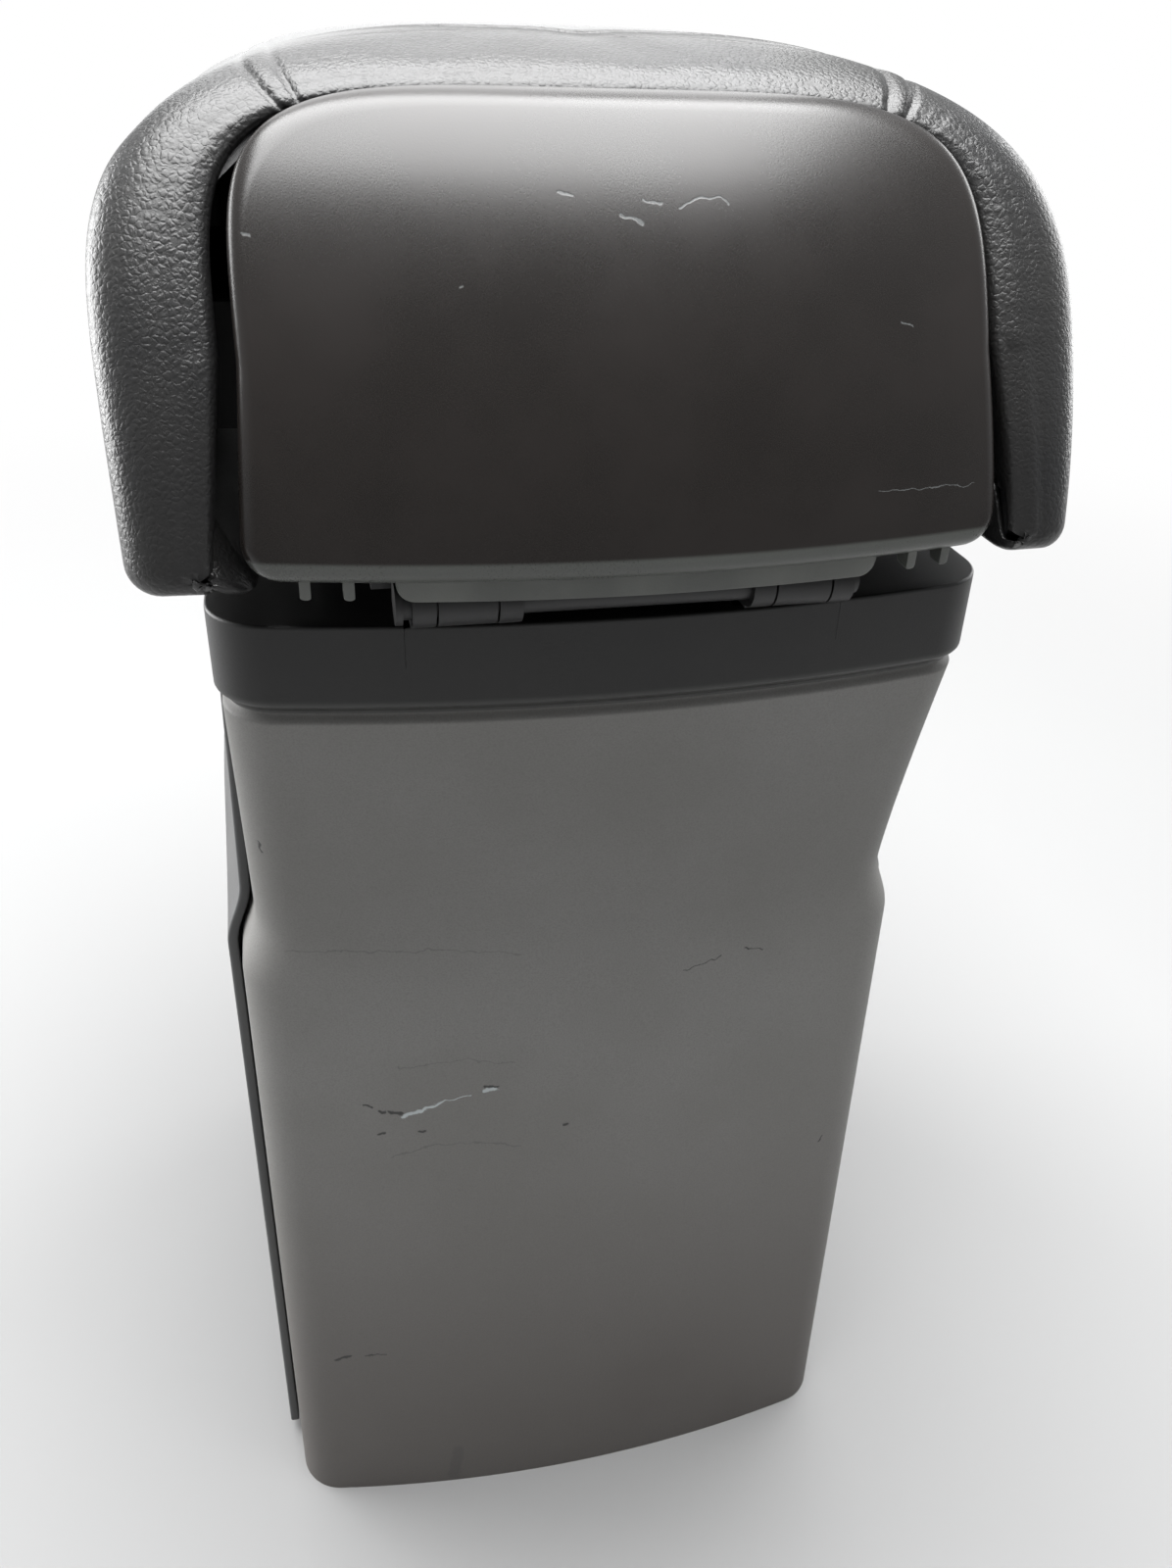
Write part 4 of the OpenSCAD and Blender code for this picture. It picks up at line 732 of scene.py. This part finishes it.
for t in np.radians(np.linspace(0, 90, 31))[1:]:
    s, k = np.sin(t) ** (2 / 2.6), max(np.cos(t), 0.004) ** (2 / 2.6)
    y = nose_y + 52 * s
    row = closed if y > 106 else body
    if y <= 106:
        shut_from = len(rows)
    sunk = row * (k, k * nose_sink) + (0, pad_floor * (1 - k * nose_sink))
    rows.append(cap_ring(sunk, np.full(len(row), y)))
pad = np.array(rows)
pad = np.concatenate([pad, pad[:, -2::-1] * (-1, 1, 1)], axis=1)
m, n = pad.shape[:2]
half_n = (n + 1) // 2


def surface_normals(grid):
    """Unit normals of a grid of points, from the differences along its rows and columns."""
    across, down = np.gradient(grid, axis=1), np.gradient(grid, axis=0)
    normal = np.cross(down, across)
    return normal / np.maximum(np.linalg.norm(normal, axis=-1, keepdims=True), 1e-9)


def smoothed(field, times):
    """Field averaged with its neighbours along rows and columns, times over."""
    for _ in range(times):
        field = (field + np.roll(field, 1, 1) + np.roll(field, -1, 1)) / 3
        field = np.concatenate([field[:1], (field[:-2] + field[1:-1] + field[2:]) / 3, field[-1:]])
    return field


out = surface_normals(pad)
if out[m // 2, half_n - 1, 2] < 0:
    out = -out


def blown_up(grid, outwards, most):
    """How far cloth over a grid of points swells, in mm: a coarse copy, held at its rear edge, its
    underside and its nose, is simulated for 20 frames under pressure, and no point moves farther
    than most. The movement is spread evenly over the grid between the copy's points."""
    m, n = grid.shape[:2]
    rows, columns = (np.unique(np.append(np.arange(0, size, step), size - 1))
                     for size, step in ((m, 4), (n, 9)))
    start = grid[rows][:, columns]
    faces = join_grid(start)
    facing = np.cross(start[1:, :-1] - start[:-1, :-1], start[:-1, 1:] - start[:-1, :-1])
    if np.sum(facing * outwards[rows][:, columns][:-1, :-1]) > 0:
        faces = faces[:, ::-1]
    mesh = bpy.data.meshes.new("pattern")
    mesh.from_pydata(start.reshape(-1, 3) * 0.001, [], faces.tolist())
    pattern = bpy.data.objects.new("pattern", mesh)
    collection.objects.link(pattern)
    free = np.outer(np.interp(rows, [8, 24, m - 20, m - 4], [0, 1, 1, 0]),
                    np.interp(np.minimum(columns, n - 1 - columns), [28, 60], [0, 1]))
    held = pattern.vertex_groups.new(name="held")
    for index, share in enumerate(free.ravel()):
        held.add([index], 1.0 - float(share), "REPLACE")
    cloth = pattern.modifiers.new("swell", "CLOTH")
    cloth.settings.quality = 6
    cloth.settings.tension_stiffness = cloth.settings.compression_stiffness = 25
    cloth.settings.use_pressure, cloth.settings.uniform_pressure_force = True, 4.0
    cloth.settings.vertex_group_mass = "held"
    cloth.settings.effector_weights.gravity = 0
    for frame_number in range(1, 21):
        bpy.context.scene.frame_set(frame_number)
    shaped = pattern.evaluated_get(bpy.context.evaluated_depsgraph_get()).to_mesh()
    end = np.empty(len(shaped.vertices) * 3, dtype=np.float32)
    shaped.vertices.foreach_get("co", end)
    moved = (end.reshape(start.shape) * 1000 - start) * free[..., None]
    moved *= np.minimum(1, most / np.maximum(np.linalg.norm(moved, axis=-1, keepdims=True), 1e-6))
    bpy.data.objects.remove(pattern)
    bpy.context.scene.frame_set(1)
    wide = np.stack([[np.interp(np.arange(n), columns, row) for row in moved[..., axis]]
                     for axis in range(3)], axis=-1)
    return np.stack([[np.interp(np.arange(m), rows, column) for column in wide[..., axis].T]
                     for axis in range(3)], axis=-1).transpose(1, 0, 2)


swelling = blown_up(pad, out, 2.0)
pad = pad + np.stack([smoothed(swelling[..., axis], 12) for axis in range(3)], axis=-1)
first_arch = half_n - 1 - arch_n
length = np.concatenate([np.arange(arch_n, 0, -1), np.arange(0, arch_n + 1)]) * arch_length / arch_n
from_crown = np.full(n, 400.0)
from_crown[first_arch:n - first_arch] = length
signed = np.where(np.arange(n) < half_n, from_crown, -from_crown)
seam_x = 57
arch_x = arch(pad_half, 1, 0, pad_power, np.clip(pad_turns, 0, np.pi / 2))[:, 0]
seam_at = np.interp(-seam_x, -arch_x, np.linspace(arch_length, 0, arch_n + 1))
tight = np.interp(np.arange(m), [6, 10, 14, 22, 36, 60, m - 46, m],
                  [0, 1.2, 1.6, 1.5, 1, 0.7, 0.7, 0.3])[:, None]
lift = np.zeros((m, n))
for sign in (1, -1):
    off = signed[None] - sign * seam_at
    lift -= 0.4 * tight * (np.exp(-((off - 2.6) / 0.7) ** 2) + np.exp(-((off + 2.6) / 0.7) ** 2))
    lift += 0.15 * np.exp(-(off / 1.7) ** 2)
dice = np.random.default_rng(7)
rim = np.interp(np.arange(m), [7, 10, 14, 20, 26, 32], [0, 0.7, 1, 0.8, 0.3, 0])[:, None]
folds = np.arange(-140, 141, 1.9)
folds += dice.uniform(-0.8, 0.8, len(folds))
up_or_down = 1 - 2 * (np.arange(len(folds)) % 2)
pleats = np.interp(signed, folds, up_or_down * dice.uniform(0.1, 1, len(folds)) ** 1.5)
gathered = np.where(signed > 0,
                    np.interp(signed, [52, 60, 72, 100, 125], [0, 0.9, 0.45, 0.25, 0.1]),
                    np.interp(-signed, [30, 58, 70, 100], [0, 0.25, 0.3, 0.1]))
lift += 0.22 * rim * (pleats * gathered)[None]
swell = smoothed(dice.normal(0, 1, (m, n)), 60)
lift += 0.3 * swell / np.abs(swell).max()
lift[:8] = 0
from_middle = np.minimum(np.arange(n), n - 1 - np.arange(n))
lift *= np.interp(from_middle, [30, 45], [0, 1])
foam_rows = (pad - 2.8 * out)[24::2, 34:n - 34:3]
pad = pad + out * lift[..., None]


def leather():
    """Black leather: pebbles of a millimetre and a half, with fine wrinkles between them."""
    material = bpy.data.materials.new("pebbled_leather")
    tree = Tree(material)
    place = tree.place()
    bent = tree.shaken(place, 900.0, 0.0011)
    cells = tree.add("ShaderNodeTexVoronoi", {"feature": "SMOOTH_F1"}, bent,
                     Scale=900.0, Smoothness=0.35)
    creases = tree.add("ShaderNodeTexVoronoi", {"feature": "DISTANCE_TO_EDGE"}, bent, Scale=900.0)
    fine = tree.noise(place, 3800, 3)
    drift = tree.noise(place, 30, 3)
    tint = tree.mix(drift.ramp(0.3, 0.7), (0.0125, 0.0125, 0.0130, 1), (0.0175, 0.0170, 0.0165, 1))
    pebbles = creases.ramp(0.0, 0.3) * 0.6 - cells * 0.9 + fine * 0.15
    tree.add("ShaderNodeOutputMaterial", {}, tree.add(
        "ShaderNodeBsdfPrincipled", {}, Base_Color=tint,
        Roughness=fine * 0.12 + drift * 0.1 + 0.24,
        Normal=tree.add("ShaderNodeBump", {}, 0.45, 0.00012, Height=pebbles)))
    return material


keep = np.ones((m - 1, n), dtype=bool)
keep[:shut_from, from_middle < middle_n] = False
keep[:4, from_middle < first_side + 3] = False
keep[:, -1] = False
cover = make_piece("leather_cover", [(pad, join_grid(pad, around=True, keep=keep))], leather(),
                   "leather", "pad", "pad_cover", wall=1.2, sharp=60)

# ---- Foam -----------------------------------------------------------------------------------
# Moulded polyurethane foam between the carrier and the cover; it shows only from inside the pad.
foam = moulded("cut_foam", (0.58, 0.52, 0.30), (0.68, 0.62, 0.40), 0.95, 1.0, 700)
make_piece("foam_layer", [(foam_rows, join_grid(foam_rows))], foam, "foam", "pad", "pad_foam",
           wall=4.6)

# ---- Pieces kept from the CAD ---------------------------------------------------------------
# Inner mouldings, rubber, pressings and fasteners whose CAD shape is right: each gets its finish.
finishes = {
    moulded("bin_moulding", (0.014, 0.014, 0.015), (0.020, 0.020, 0.021), 0.5):
        ("storage_bin", "lid_core", "lid_liner", "pad_carrier", "nose_panel", "latch_lever"),
    moulded("soft_rubber", (0.010, 0.010, 0.010), (0.018, 0.018, 0.018), 0.75, 0.8, 1400):
        ("bin_mat", "lid_bumpers"),
    # Hinge steel: black paint, made darker still as painted shade for the dark gap under the lid
    # where the hinge sits.
    moulded("dark_steel_and_gap_shade", (0.008, 0.008, 0.0085), (0.014, 0.014, 0.0145), 0.45, 0.25, 900):
        ("mounting_bracket", "hinge_bracket", "hinge_leaf", "hinge_pin"),
    moulded("zinc_plating", (0.50, 0.51, 0.53), (0.62, 0.62, 0.60), 0.32, 0.15, 1200, 150, 1.0):
        ("bracket_screws", "shell_screws", "hinge_screws", "latch_striker", "liner_screws",
         "leaf_screws", "rail_left", "rail_right", "rail_screws", "latch_pin", "latch_spring",
         "runner_screws", "cap_screws"),
    moulded("slide_plastic", (0.016, 0.016, 0.016), (0.024, 0.024, 0.023), 0.45):
        ("runner_left", "runner_right"),
}
for material, names in finishes.items():
    for name in names:
        nodes[name].data.materials.clear()
        nodes[name].data.materials.append(material)
